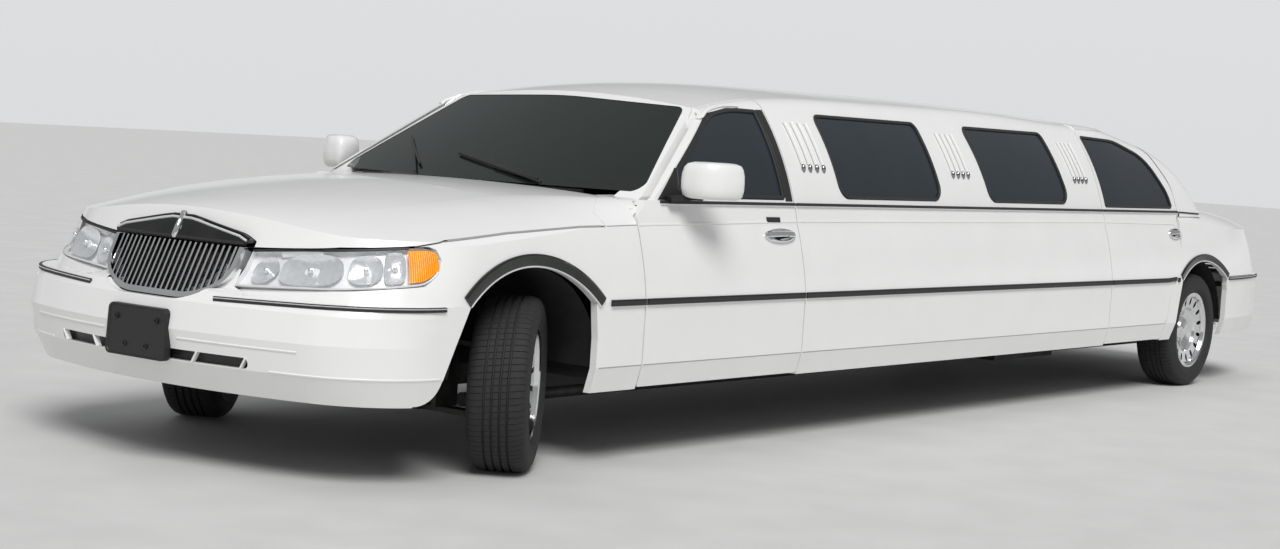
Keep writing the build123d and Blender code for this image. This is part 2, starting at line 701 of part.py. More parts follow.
def lid_zone(grow=0.0):
    g = grow
    return box(rear(-1500), rear(LID_FRONT_X) + g, -1, LID_HALF + g, LID_BOTTOM_Z - g, 1200)


def tail_lamp_zone(grow=0.0):
    g = grow
    return box(rear(-1500), rear(-1000) + g, 640 - g, 905 + g, 690 - g, 862 + g)


def boot_lid():
    lid = biggest(TAIL & box(rear(-1500), rear(LID_FRONT_X), -LID_HALF, LID_HALF, LID_BOTTOM_Z, 1200))
    return biggest(lid - Pos(SHELL, 0, -SHELL) * lid)


def tail_lamp():
    return biggest(TAIL_SHELL & tail_lamp_zone())


def hood():
    shell = NOSE_SHELL & hood_profile(3.0) & hood_plan(0.0)
    below = [(-347, 700)] + header_top(1.4) + [(347, 700)]
    ring = front_view_prism(below, [4] + HEADER_RADII + [4], front(760), front(1200))
    return biggest(shell - ring)


def beside_grille():
    """All that lies between the car's middle and the headlamp's inner edge."""
    points = [(-2, 500), (292, 600), (312, 655), (337, 705), (347, 760), (LAMP_INNER_Y, 1000), (-2, 1000)]
    face = Face(Wire.make_polygon([(front(300), y, z) for y, z in points]))
    return extrude(face, amount=1000, dir=(1, 0, 0))


def headlamp():
    """Left headlamp block, shaped as the body skin that it fills."""
    return biggest((keep_left(NOSE_SHELL) & lamp_band()) - beside_grille())


LAMP_INNER_Y = 350.0


def front_fender():
    """Front wing with the strip round the headlamp and the panel behind the wheel."""
    low = LOWER & box(front(FRONT_DOOR_FRONT) + PANEL_GAP, front(500), 0, 1100, SILL_Z, WAIST_Z)
    left = keep_left((NOSE + low) - (NOSE_IN + LOWER_IN))
    cutters = [hood_profile(-3.0) & hood_plan(-SEAM),
               lamp_band(2.0),
               bumper_band(), header_outline(SEAM), front_arch(),
               box(front(400), front(1300), 0, 345, 500, 803)]
    return biggest(cut_all(left, cutters))


def bumper(x0, x1, arch):
    """Bumper shell with a closed top."""
    hollow = LOWER_IN & box(-5000, 5000, -1200, 1200, 0, WAIST_Z - SHELL)
    inner = plan_face(BODY_LEVELS[0], SHELL)
    core = Pos(0, 0, -SHELL - 1) * extrude(inner, amount=SHELL + 40, dir=(0, 0, 1))
    shell = (LOWER - hollow - core) & box(x0, x1, -1200, 1200, SILL_Z, WAIST_Z)
    return shell - arch - mirrored(arch)


def front_bumper():
    low = bumper(front(380), front(1200), front_arch())
    band = keep_left(NOSE_SHELL) & bumper_band()
    top = biggest(band - front_arch() - box(front(0), front(1300), 0, 344, 500, 1000))
    low = low - grille_outline(SEAM)
    slot = front_view_prism([(-490, 392), (-490, 430), (490, 430), (490, 392)], [18, 18, 18, 18],
                            front(930), front(1200))
    return biggest(low + top + mirrored(top) - slot)


def rear_bumper():
    return biggest(bumper(rear(-1500), rear(-340), rear_arch()))


def windscreen():
    slab = ahead_of_screen(16.0) - ahead_of_screen(4.0)
    return biggest(slab & screen_opening(PANE_GAP) & box(front(-1450), front(-300), -1000, 1000, 1000, 1500))


def rear_window():
    return biggest(GLASS & backlight_opening(PANE_GAP))


def cowl_panel():
    """Tray and lip between the hood and the windscreen."""
    tray = box(front(-735), front(-500), -690, 690, 958, 982)
    lip = (hood_plan(-24.0) - hood_plan(-PANEL_GAP)) & box(front(-760), front(-500), -600, 600, 980, 1042)
    return tray + lip


def plate_bracket():
    return box(front(1068), front(1080), -158, 158, 385, 565)


# Mirror housing: plan outline as x from the front axle and y
MIRROR_PLAN = [(-846, 930), (-838, 1035), (-893, 1102), (-1008, 1122),
               (-1034, 1092), (-975, 1035), (-955, 930)]
MIRROR_LOW_Z = 1036.0
MIRROR_HIGH_Z = 1182.0


def mirror_unit():
    """Door mirror on its short arm."""
    face = Face(Wire.make_polygon([(front(x), y, MIRROR_LOW_Z) for x, y in MIRROR_PLAN]))
    shell = extrude(face, amount=MIRROR_HIGH_Z - MIRROR_LOW_Z, dir=(0, 0, 1))
    shell = fillet(shell.edges(), 14)
    arm = box(front(-935), front(-875), 888, 940, 1048, 1090)
    return biggest((shell + arm) - HOUSE - FLANK)


# Floor heights
KICK_TOP = 560.0
KICK_THICK = 15.0


def floor_pan():
    """Floor, firewall, rear kick-up with wheel houses, bulkhead, parcel shelf and boot floor."""
    half = 862.0
    pan = box(rear(470), front(-440), -half, half, FLOOR_Z, FLOOR_Z + FLOOR_THICK)
    pan = pan + box(front(-440), front(-410), -half, half, FLOOR_Z, 800)
    pan = pan + box(front(-440), front(-410), -640, 640, 790, 957)
    pan = pan + box(rear(440), rear(470), -half, half, FLOOR_Z, KICK_TOP)
    pan = pan + box(rear(-1230), rear(470), -690, 690, KICK_TOP - KICK_THICK, KICK_TOP)
    pan = pan + box(rear(-150), rear(-125), -690, 690, KICK_TOP - KICK_THICK, 988)
    pan = pan + box(rear(-255), rear(-125), -690, 690, 973, 988)
    for side in (1, -1):
        pan = pan + box(rear(-400), rear(470), side * 675, side * 690, KICK_TOP - KICK_THICK, 770)
        pan = pan + box(rear(-400), rear(470), side * 675, side * 862, 755, 770)
        pan = pan + box(front(-440), front(640), side * 490, side * 505, 441, 800)
        pan = pan + box(front(-440), front(430), side * 490, side * 880, 785, 800)
        pan = pan - box(front(-66), front(66), side * 480, side * 530, 400, 476)
    for rail in frame_rails(SEAT_GAP):
        pan = pan - rail
    return pan


def frame_rails(grow=0.0):
    """Runs of the two rails, which rise over both axles."""
    runs = [
        (front(-440), front(860), 360, 440),
        (front(-500), front(-440), 240, 440),
        (rear(520), front(-440), 240, FLOOR_Z - SEAT_GAP),
        (rear(475), rear(540), 240, 540),
        (rear(-1230), rear(540), 460, 540),
    ]
    rails = []
    for x0, x1, z0, z1 in runs:
        for side in (1, -1):
            inner, outer = side * (430 - grow), side * (489 + grow)
            rails.append(box(x0 - grow, x1 + grow, inner, outer, z0 - grow, z1 + grow))
    return rails


def chassis_frame():
    """The two rails tied by cross members, with the radiator support at the front."""
    members = [
        (front(800), front(860), 360, 440),
        (rear(-1230), rear(-1180), 460, 540),
        (front(-1260), front(-1200), 222, 250),
        (front(-2300), front(-2230), 222, 250),
        (front(-3700), front(-3630), 222, 250),
        (rear(560), rear(630), 222, 250),
    ]
    frame = None
    for rail in frame_rails():
        frame = rail if frame is None else frame + rail
    for x0, x1, z0, z1 in members:
        frame = frame + box(x0, x1, -489, 489, z0, z1)
    return frame + box(front(700), front(740), -600, 600, 439, 780)


def front_suspension():
    """Cross member with upper and lower arms for both front wheels."""
    beam = box(front(-60), front(60), -425, 425, 262, 330)
    for side in (1, -1):
        beam = beam + box(front(-30), front(30), side * 300, side * 795, 186, 206)
        beam = beam + box(front(-60), front(60), side * 370, side * 425, 186, 330)
        beam = beam + box(front(-30), front(30), side * 508, side * 795, 450, 468)
        beam = beam + box(front(-60), front(60), side * 495, side * 520, 206, 468)
        beam = beam + box(front(-60), front(60), side * 370, side * 520, 262, 360 - SEAT_GAP)
    return beam


def along_y(radius, y0, y1, x, z):
    cylinder = Cylinder(radius, abs(y1 - y0), rotation=(90, 0, 0))
    return Pos(x, (y0 + y1) / 2, z) * cylinder


def along_x(radius, x0, x1, y, z):
    return Pos((x0 + x1) / 2, y, z) * Cylinder(radius, abs(x1 - x0), rotation=(0, 90, 0))


def rear_axle():
    reach = REAR_TRACK / 2 + HUB_BACK - 0.5
    beam = along_y(42, -reach, reach, rear(0), TYRE_RADIUS)
    beam = beam + along_y(62, -reach, -reach + 25, rear(0), TYRE_RADIUS)
    beam = beam + along_y(62, reach - 25, reach, rear(0), TYRE_RADIUS)
    return beam + fillet(box(rear(-120), rear(150), -110, 110, 218, 438).edges(), 40)


def propshaft():
    shaft = along_x(30, rear(151), front(-1200), 0, 285)
    return shaft


def engine_block():
    """Engine and gearbox as one block."""
    block = box(front(-400), front(330), -290, 290, 335, 830)
    gearbox = box(front(-1195), front(-405), -130, 130, 215, 322)
    neck = box(front(-470), front(-399), -130, 130, 215, 322)
    joint = box(front(-405), front(-390), -130, 130, 215, 400)
    return chamfer(block.edges().filter_by(Axis.X), 90) + gearbox + neck + joint


def exhaust():
    pipe = None
    for side in (1, -1):
        run = along_x(28, rear(-1100), front(-300), side * 330, 190)
        run = run + box(rear(700), rear(1400), side * 270, side * 390, 150, 216)
        pipe = run if pipe is None else pipe + run
    return pipe


def fuel_tank():
    return fillet(box(rear(-1050), rear(-480), -250, 250, 290, 455).edges(), 25)


# Seats
def cushion(x0, x1, y0, y1, z0, z1, round_by=45.0):
    return fillet(box(x0, x1, y0, y1, z0, z1).edges(), round_by)


def front_seat():
    base = box(front(-1640), front(-1180), 150, 640, FLOOR_TOP, 480)
    seat = cushion(front(-1680), front(-1140), 130, 660, 470, 600)
    back = Pos(front(-1640), 395, 560) * Rot(0, -14, 0) * cushion(-70, 70, -265, 265, 0, 520, 50)
    head = Pos(front(-1765), 395, 1045) * Rot(0, -14, 0) * cushion(-45, 45, -130, 130, 0, 170, 40)
    return biggest(base + seat + back + head)


FLOOR_TOP = FLOOR_Z + FLOOR_THICK + 0.3


def side_bench():
    """Lounge bench along the right wall."""
    seat = cushion(front(-4450), front(-2100), -855, -330, FLOOR_TOP, 620, 50)
    back = cushion(front(-4450), front(-2100), -860, -720, 560, 960, 45)
    return seat + back


def rear_seat():
    seat = cushion(rear(-90), rear(520), -665, 665, KICK_TOP + 0.3, 690, 45)
    back = Pos(rear(50), 0, 640) * Rot(0, -14, 0) * cushion(-60, 75, -660, 660, 0, 400, 50)
    return seat + back


def partition():
    """Wall between driver and lounge, with a wide window."""
    half = WAIST_HALF - SIDE_WALL - 1
    wall = box(front(-1950), front(-1925), -half, half, FLOOR_TOP, BELT_Z - 31)
    wall = wall + box(front(-1950), front(-1925), -half + 40, half - 40, BELT_Z - 32, BELT_Z - 20)
    upper = greenhouse(PILLAR_WALL + 1.5, SCREEN_WALL)
    upper = upper & box(front(-1950), front(-1925), -900, 900, BELT_Z - 35, 1600)
    return biggest(wall + upper - box(front(-2000), front(-1900), -560, 560, 1040, 1330))


def dashboard():
    top = fillet(box(front(-960), front(-742), -840, 840, 760, 975).edges(), 40)
    low = box(front(-820), front(-742), -820, 820, 600, 800)
    column = steering_place() * Pos(0, 0, -21 - 90) * Cylinder(28, 180)
    return top + low + column


def steering_place():
    return Pos(front(-1100), 385, 900) * Rot(0, -65, 0)


def steering_wheel():
    rim = Torus(188, 14)
    hub = Cylinder(55, 40)
    spokes = Box(376, 40, 16) + Pos(0, -95, 0) * Box(36, 190, 16)
    return steering_place() * Rot(0, 0, 90) * (rim + hub + spokes)


# Wheels. Distances across the wheel are from its centre plane, outward positive.
HUB_BACK = -12.5
RIM_BARREL = 200.0
RIM_OUT = 97.0
RIM_BACK = -100.0
RIM_SLOTS = 15
SLOT_AT = 166.0


def wheel_profile(points):
    """Revolves radius and width pairs about the wheel axis, which lies along Y."""
    face = make_face(Polyline(*[(radius, width, 0) for radius, width in points], close=True))
    return revolve(face, Axis.Y)


def rim():
    """Slotted disc wheel with a domed centre."""
    profile = [(0, 62), (40, 60), (62, 50), (70, 38), (118, 52), (128, 66), (189, 76), (197, RIM_OUT - 4),
               (209, RIM_OUT), (RIM_RADIUS, RIM_OUT), (RIM_RADIUS, RIM_BACK), (RIM_BARREL, RIM_BACK),
               (RIM_BARREL, 40), (120, 40), (100, 24), (60, 20), (60, HUB_BACK), (0, HUB_BACK)]
    wheel = wheel_profile(profile)
    slot = Pos(SLOT_AT, 60, 0) * Rot(90, 0, 0) * extrude(Ellipse(22, 11), amount=60, both=True)
    for index in range(RIM_SLOTS):
        wheel = wheel - Rot(0, 360.0 * index / RIM_SLOTS, 0) * slot
    return wheel


def tyre():
    half = TYRE_WIDTH / 2
    profile = [(RIM_RADIUS + 0.4, 100), (RIM_RADIUS + 0.4, -100), (225, -108), (262, -half), (298, -half + 4),
               (322, -half + 22), (TYRE_RADIUS, -half + 45), (TYRE_RADIUS, half - 45), (322, half - 22),
               (298, half - 4), (262, half), (225, 108)]
    return wheel_profile(profile)


def knuckle():
    """Upright between the two arms, with the hub stub on its outer side."""
    y = KINGPIN_Y
    upright = box(-38, 38, y - 30, y + 6, 213, 443)
    stub = along_y(58, y + 5, FRONT_TRACK / 2 + HUB_BACK - 0.5, 0, TYRE_RADIUS)
    arm = box(-160, -30, y - 30, y - 6, 300, 330)
    return Pos(front(0), 0, 0) * (upright + stub + arm)


def steered(shape, side):
    """Turns a left-hand shape on its kingpin by the parked steering angle."""
    here = shape if side > 0 else mirrored(shape)
    pin = Pos(front(0), side * KINGPIN_Y, 0)
    return pin * Rot(0, 0, STEER_REST) * pin.inverse() * here


def wheel_at(shape, x, y, side):
    here = shape if side > 0 else mirrored(shape)
    return Pos(x, side * y, TYRE_RADIUS) * here


def screen_point(y, z, proud):
    """Point a little in front of the windscreen glass."""
    sagitta = SCREEN_BASE_X - SCREEN_CORNER_X
    radius = (SCREEN_CORNER_HALF ** 2 + sagitta ** 2) / (2 * sagitta)
    x = SCREEN_BASE_X - (radius - sqrt(radius ** 2 - y ** 2)) - (z - SCREEN_BASE_Z) * SCREEN_SLOPE
    return Vector(front(x + proud), y, z)


# Wipers: blade's low end, blade's high end and pivot, each as y and z on the glass
WIPERS = [
    ((380.0, 1068.0), (-143.0, 1146.0), (419.0, 1058.0)),
    ((-285.0, 1090.0), (-580.0, 1200.0), (-242.0, 1060.0)),
]


def wipers():
    """Two blades that follow the glass, each with its arm."""
    pair = []
    for low, high, pivot in WIPERS:
        middle = ((low[0] + high[0]) / 2, (low[1] + high[1]) / 2)
        ends = [screen_point(*place, 16) for place in (low, middle, high)]
        path = Edge.make_three_point_arc(*ends)
        blade = sweep(Plane(origin=path @ 0, z_dir=path % 0) * Circle(6), path=path)
        start = screen_point(*pivot, 30)
        reach = screen_point(*middle, 22) - start
        pair.append(blade + Solid.make_cylinder(5, reach.length, Plane(origin=start, z_dir=reach)))
    return pair


def nodes():
    """Every node of the car with the solids that make it up."""
    front_glass = pane(FRONT_GLASS, FRONT_GLASS_RADII)
    rear_glass = pane(REAR_GLASS, REAR_GLASS_RADII)
    left_front = front_door()
    left_rear = rear_door()
    left_mirror = mirror_unit()
    panes = [pane(points, SIDE_WINDOW_RADII) for points in SIDE_WINDOWS]
    seat = front_seat()
    parts = {
        "roof_panel": [roof_panel()],
        "side_panels": both_sides(side_panel()),
        "rear_quarters": [rear_quarters()],
        "front_fenders": both_sides(front_fender()),
        "front_bumper": [front_bumper()],
        "rear_bumper": [rear_bumper()],
        "plate_bracket": [plate_bracket()],
        "grille": [grille()],
        "headlamps": both_sides(headlamp()),
        "tail_lamps": both_sides(tail_lamp()),
        "windscreen": [windscreen()],
        "rear_window": [rear_window()],
        "side_windows": panes + [mirrored(glass) for glass in panes],
        "cowl_panel": [cowl_panel()],
        "wipers": wipers(),
        "floor_pan": [floor_pan()],
        "chassis_frame": [chassis_frame()],
        "front_suspension": [front_suspension()],
        "rear_axle": [rear_axle()],
        "propshaft": [propshaft()],
        "engine_block": [engine_block()],
        "exhaust": [exhaust()],
        "fuel_tank": [fuel_tank()],
        "dashboard": [dashboard()],
        "steering_wheel": [steering_wheel()],
        "front_seats": both_sides(seat),
        "partition": [partition()],
        "side_bench": [side_bench()],
        "rear_seat": [rear_seat()],
        "hood": [hood()],
        "hood_header": [hood_header()],
        "boot_lid": [boot_lid()],
        "door_front_left": [left_front],
        "door_front_right": [mirrored(left_front)],
        "door_rear_left": [left_rear],
        "door_rear_right": [mirrored(left_rear)],
        "glass_front_left": [front_glass],
        "glass_front_right": [mirrored(front_glass)],
        "glass_rear_left": [rear_glass],
        "glass_rear_right": [mirrored(rear_glass)],
        "mirror_left": [left_mirror],
        "mirror_right": [mirrored(left_mirror)],
    }
    wheel_rim = rim()
    wheel_tyre = tyre()
    for name, side in (("left", 1), ("right", -1)):
        parts["knuckle_" + name] = [steered(knuckle(), side)]
        for piece, shape in (("rim", wheel_rim), ("tyre", wheel_tyre)):
            upright = wheel_at(shape, front(0), FRONT_TRACK / 2, 1)
            parts[piece + "_front_" + name] = [steered(upright, side)]
            parts[piece + "_rear_" + name] = [wheel_at(shape, rear(0), REAR_TRACK / 2, side)]
    return parts


def save():
    os.makedirs("parts", exist_ok=True)
    for name, shapes in nodes().items():
        solids = [solid for shape in shapes for solid in shape.solids()]
        whole = solids[0] if len(solids) == 1 else Compound(children=solids)
        whole.label = name
        export_step(whole, "parts/" + name + ".step")


save()
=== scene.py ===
import json
from math import atan2, cos, hypot, pi, radians, sin, tan

import bpy
from mathutils import Matrix, Vector
from mathutils.bvhtree import BVHTree


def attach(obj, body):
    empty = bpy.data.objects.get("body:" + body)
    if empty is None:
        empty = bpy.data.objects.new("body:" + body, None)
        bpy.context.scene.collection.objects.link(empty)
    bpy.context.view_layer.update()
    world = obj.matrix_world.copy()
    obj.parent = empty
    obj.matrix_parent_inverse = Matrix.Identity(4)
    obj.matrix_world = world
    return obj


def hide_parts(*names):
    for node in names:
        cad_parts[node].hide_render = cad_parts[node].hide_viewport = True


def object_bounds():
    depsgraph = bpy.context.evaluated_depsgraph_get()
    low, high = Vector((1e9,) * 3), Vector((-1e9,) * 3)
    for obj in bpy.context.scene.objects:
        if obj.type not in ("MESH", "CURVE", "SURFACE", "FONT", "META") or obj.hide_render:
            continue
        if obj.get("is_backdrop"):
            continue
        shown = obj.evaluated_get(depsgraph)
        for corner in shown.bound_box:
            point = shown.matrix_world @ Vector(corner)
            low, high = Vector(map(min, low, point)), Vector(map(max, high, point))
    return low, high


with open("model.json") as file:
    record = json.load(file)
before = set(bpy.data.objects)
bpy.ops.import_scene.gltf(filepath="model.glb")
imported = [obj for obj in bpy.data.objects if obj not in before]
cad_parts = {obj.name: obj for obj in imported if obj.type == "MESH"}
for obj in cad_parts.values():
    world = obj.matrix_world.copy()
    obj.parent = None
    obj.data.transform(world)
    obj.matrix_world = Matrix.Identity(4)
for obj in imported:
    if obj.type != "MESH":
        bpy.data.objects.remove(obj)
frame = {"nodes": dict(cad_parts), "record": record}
low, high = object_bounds()
NODES = frame["nodes"]

FRONT_AXLE = 3.185
REAR_AXLE = -2.853


def fx(mm):
    """Metres along X from a distance in millimetres ahead of the front axle."""
    return FRONT_AXLE + mm / 1000


def rx(mm):
    return REAR_AXLE + mm / 1000


# Materials
def made(tree, kind, **inputs):
    """New shader node of a kind with the given values at its inputs."""
    node = tree.nodes.new("ShaderNode" + kind)
    for socket, value in inputs.items():
        node.inputs[socket.replace("_", " ")].default_value = value
    return node


def shader(name, color, rough=0.4, metal=0.0, spread=0.06, scale=30.0, bump=0.0, bump_scale=200.0, **sockets):
    """Principled material whose colour and roughness vary by noise."""
    mat = bpy.data.materials.new(name)
    mat.use_nodes = True
    tree = mat.node_tree
    bsdf = tree.nodes["Principled BSDF"]
    coords = made(tree, "TexCoord")
    noise = made(tree, "TexNoise", Scale=scale, Detail=3.0)
    tree.links.new(coords.outputs["Object"], noise.inputs["Vector"])
    ramp = made(tree, "ValToRGB")
    ramp.color_ramp.elements[0].position = 0.35
    ramp.color_ramp.elements[1].position = 0.65
    ramp.color_ramp.elements[0].color = [c * (1 - spread) for c in color] + [1]
    ramp.color_ramp.elements[1].color = [min(1, c * (1 + spread)) for c in color] + [1]
    tree.links.new(noise.outputs["Fac"], ramp.inputs["Fac"])
    tree.links.new(ramp.outputs["Color"], bsdf.inputs["Base Color"])
    spanned = made(tree, "MapRange", To_Min=max(0.0, rough * 0.9), To_Max=min(1.0, rough * 1.12))
    tree.links.new(noise.outputs["Fac"], spanned.inputs["Value"])
    tree.links.new(spanned.outputs["Result"], bsdf.inputs["Roughness"])
    bsdf.inputs["Metallic"].default_value = metal
    for socket, value in sockets.items():
        bsdf.inputs[socket.replace("_", " ")].default_value = value
    if bump:
        grain = made(tree, "TexNoise", Scale=bump_scale)
        tree.links.new(coords.outputs["Object"], grain.inputs["Vector"])
        bumped = made(tree, "Bump", Strength=bump, Distance=0.002)
        tree.links.new(grain.outputs["Fac"], bumped.inputs["Height"])
        tree.links.new(bumped.outputs["Normal"], bsdf.inputs["Normal"])
    return mat


PAINT = shader("white_paint", (0.80, 0.80, 0.79), 0.24, spread=0.012, scale=4.0, Coat_Weight=0.5,
               Coat_Roughness=0.05)
CHROME = shader("chrome", (0.78, 0.78, 0.79), 0.07, 1.0, spread=0.03, scale=12.0)
# Chrome made almost black: a shaded copy of the chrome, with the dark reflection of dark surroundings painted
# into its colour
CHROME_DARK_REFLECTION = shader("dark_chrome", (0.075, 0.078, 0.074), 0.10, 1.0, spread=0.12, scale=9.0)
# Bright half-metal copy of the chrome, lighter than chrome shows: real bright trim whose brightness is a
# painted highlight
CHROME_HIGHLIGHT = shader("satin_bright", (0.82, 0.82, 0.83), 0.30, 0.45, spread=0.03, scale=30.0)
RUBBER = shader("black_rubber", (0.018, 0.018, 0.018), 0.55, spread=0.15, scale=80.0, bump=0.1)
TYRE = shader("tyre", (0.017, 0.017, 0.018), 0.75, spread=0.2, scale=60.0, bump=0.2, bump_scale=350.0)
PLASTIC = shader("black_plastic", (0.013, 0.012, 0.012), 0.42, spread=0.1, scale=60.0, bump=0.15,
                 bump_scale=500.0)
UNDER = shader("underbody", (0.012, 0.012, 0.012), 0.7, spread=0.25, scale=14.0, bump=0.2)
IRON = shader("running_gear", (0.06, 0.058, 0.055), 0.55, 0.5, spread=0.25, scale=22.0, bump=0.2)
ALLOY = shader("wheel_metal", (0.74, 0.74, 0.75), 0.13, 1.0, spread=0.03, scale=15.0)
LEATHER = shader("seat_leather", (0.055, 0.050, 0.047), 0.42, spread=0.12, scale=25.0, bump=0.35,
                 bump_scale=260.0)
LINING = shader("lining", (0.10, 0.095, 0.09), 0.8, spread=0.12, scale=90.0, bump=0.2, bump_scale=400.0)
REFLECTOR = shader("lamp_reflector", (0.85, 0.86, 0.88), 0.1, 1.0, spread=0.03, scale=20.0)
AMBER = shader("amber_lens", (1.0, 0.30, 0.0), 0.22, spread=0.10, scale=25.0, bump=0.3, bump_scale=120.0,
               Specular_IOR_Level=0.3)
RED = shader("red_lens", (0.42, 0.012, 0.012), 0.14, spread=0.08, scale=60.0, Coat_Weight=0.6)
# Grey for painted shade, laid in thin strips where creases, seams and rib edges fall into shade
CREASE = shader("crease_shadow", (0.30, 0.30, 0.30), 0.5, spread=0.05, scale=20.0)
# Chrome made mid-grey: a shaded copy of the chrome, with a dim reflection painted into its colour
CHROME_GREY_REFLECTION = shader("smoked_chrome", (0.30, 0.30, 0.31), 0.12, 1.0, spread=0.05, scale=20.0)
BEZEL = shader("lamp_bezel", (0.88, 0.88, 0.89), 0.30, 0.15, spread=0.04, scale=30.0)
FLUTED = shader("fluted_reflector", (0.86, 0.87, 0.89), 0.20, 0.75, spread=0.05, scale=60.0, bump=0.5,
                bump_scale=70.0)


def glass(name, color, alpha, rough=0.03):
    """Clear or tinted glass that lets part of the light straight through."""
    mat = shader(name, color, rough, spread=0.04, scale=5.0, Specular_IOR_Level=0.3)
    bsdf = mat.node_tree.nodes["Principled BSDF"]
    bsdf.inputs["Alpha"].default_value = alpha
    return mat


TINT = glass("tinted_glass", (0.020, 0.027, 0.034), 0.95)
SCREEN = glass("windscreen_glass", (0.012, 0.018, 0.016), 0.88)
CLEAR = glass("lamp_cover", (0.75, 0.80, 0.84), 0.07)

LOOK = {
    "body_paint": PAINT, "bright": CHROME, "wheel_metal": ALLOY, "lamp_lens": REFLECTOR, "lamp_red": RED,
    "window_glass": TINT, "black_plastic": PLASTIC, "underbody": UNDER, "running_gear": IRON,
    "seat_leather": LEATHER, "trim_panel": LINING, "tyre_rubber": TYRE,
}
SLOT_OF = {part["node"]: part["material_slot"] for part in frame["record"]["subparts"]}
# The hood header is chrome with a painted dark reflection
SPECIAL = {"windscreen": SCREEN, "hood_header": CHROME_DARK_REFLECTION}
MATERIALS_OF_SLOT = {
    "body_paint": (PAINT, CREASE), "bright": (CHROME, CHROME_DARK_REFLECTION, CHROME_HIGHLIGHT, CHROME_GREY_REFLECTION),
    "lamp_lens": (CLEAR, BEZEL, FLUTED, AMBER, REFLECTOR), "black_plastic": (RUBBER, PLASTIC),
    "underbody": (UNDER,), "tyre_rubber": (TYRE,), "seat_leather": (LEATHER,),
}
SLOT_FOR = {mat.name: slot for slot, mats in MATERIALS_OF_SLOT.items() for mat in mats}
SMOOTH_SLOTS = ("body_paint", "wheel_metal", "tyre_rubber", "seat_leather")
NODE_EDGE_ANGLE = radians(28)

for name, node in NODES.items():
    node.data.materials.clear()
    node.data.materials.append(SPECIAL.get(name, LOOK[SLOT_OF[name]]))
    if SLOT_OF[name] in SMOOTH_SLOTS:
        node.data.shade_smooth()
        smooth = node.modifiers.new("edges", "EDGE_SPLIT")
        smooth.split_angle = NODE_EDGE_ANGLE

# Helpers
PIECE_EDGE_ANGLE = radians(35)
BY_MATERIAL = "by material"


def add(name, verts, faces, mat, body="body", smooth=True, slot=BY_MATERIAL):
    """Piece that moves with a body; its slot is looked up from its material unless given, but not kept."""
    mesh = bpy.data.meshes.new(name)
    mesh.from_pydata([tuple(v) for v in verts], [], faces)
    mesh.validate()
    mesh.update()
    if smooth:
        mesh.shade_smooth()
        mesh.set_sharp_from_angle(angle=PIECE_EDGE_ANGLE)
    obj = bpy.data.objects.new(name, mesh)
    bpy.context.scene.collection.objects.link(obj)
    mesh.materials.append(mat)
    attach(obj, body)
    if slot == BY_MATERIAL:
        slot = SLOT_FOR[mat.name]
    return obj


def grid(rows, across, ring=False, loop=False):
    """Four-sided faces between rows of points; ring closes each row, loop joins last row to first."""
    faces = []
    for i in range(rows if loop else rows - 1):
        j = (i + 1) % rows
        for k in range(across if ring else across - 1):
            n = (k + 1) % across
            faces.append([i * across + k, i * across + n, j * across + n, j * across + k])
    return faces


def turned(faces):
    """The same four-sided faces, seen from their other side."""
    return [[a, d, c, b] for a, b, c, d in faces]


def end_face(rows, across):
    return list(range((rows - 1) * across, rows * across))


def tube(rows, across, start=False):
    """Faces of rings of points on each other, closed at the last ring and, if asked, at the first."""
    first = [end_face(1, across)] if start else []
    return grid(rows, across, ring=True) + first + [end_face(rows, across)]


def circle(count):
    """Angles in even steps round a circle."""
    return [2 * pi * k / count for k in range(count)]


SHELL_NODES = ["roof_panel", "side_panels", "rear_quarters", "front_fenders", "front_bumper", "rear_bumper",
               "door_front_left", "door_rear_left", "door_front_right", "door_rear_right", "hood", "boot_lid",
               "windscreen", "rear_window", "side_windows", "glass_front_left", "glass_rear_left",
               "glass_front_right", "glass_rear_right", "headlamps", "tail_lamps"]
BESIDE, BEYOND = 2.0, 6.0
TREES = {}


def tree_for(nodes):
    """Search tree over the faces of some nodes, built once."""
    key = tuple(nodes)
    if key not in TREES:
        verts, faces = [], []
        for name in nodes:
            node = NODES[name]
            base = len(verts)
            verts += [node.matrix_world @ v.co for v in node.data.vertices]
            faces += [[base + i for i in p.vertices] for p in node.data.polygons]
        TREES[key] = BVHTree.FromPolygons(verts, faces)
    return TREES[key]


def skin(start, out, nodes=None, near=None):
    """Point and outward normal where the skin is met from outside, else its point nearest to near."""
    tree = tree_for(nodes or SHELL_NODES)
    hit, normal = tree.ray_cast(start, -out)[:2]
    if hit is not None:
        return hit, -normal if normal.dot(out) < 0 else normal
    if near is None:
        return None, None
    return tree.find_nearest(near)[0], out


def on_side(x, z, side=1, nodes=None):
    """Point and outward normal where the car's side is at this x and z."""
    return skin(Vector((x, side * BESIDE, z)), Vector((0, side, 0)), nodes, Vector((x, side, z)))


def on_front(y, z, nodes, way=1):
    """Point and outward normal on the front, or on the rear where way is -1, else twice nothing."""
    return skin(Vector((way * BEYOND, y, z)), Vector((way, 0, 0)), nodes)


def run(start, end, steps, look):
    """Points and normals that look finds in even steps from start to end, without the misses."""
    found = [look(start + (end - start) * i / steps) for i in range(steps + 1)]
    found = [pair for pair in found if pair[0] is not None]
    return [point for point, _ in found], [normal for _, normal in found]


def moved(points, x, y, z):
    return [point + Vector((x, y, z)) for point in points]


def in_plan(normals):
    """Directions of some normals, seen from above."""
    return [Vector((normal.x, normal.y, 0)).normalized() for normal in normals]


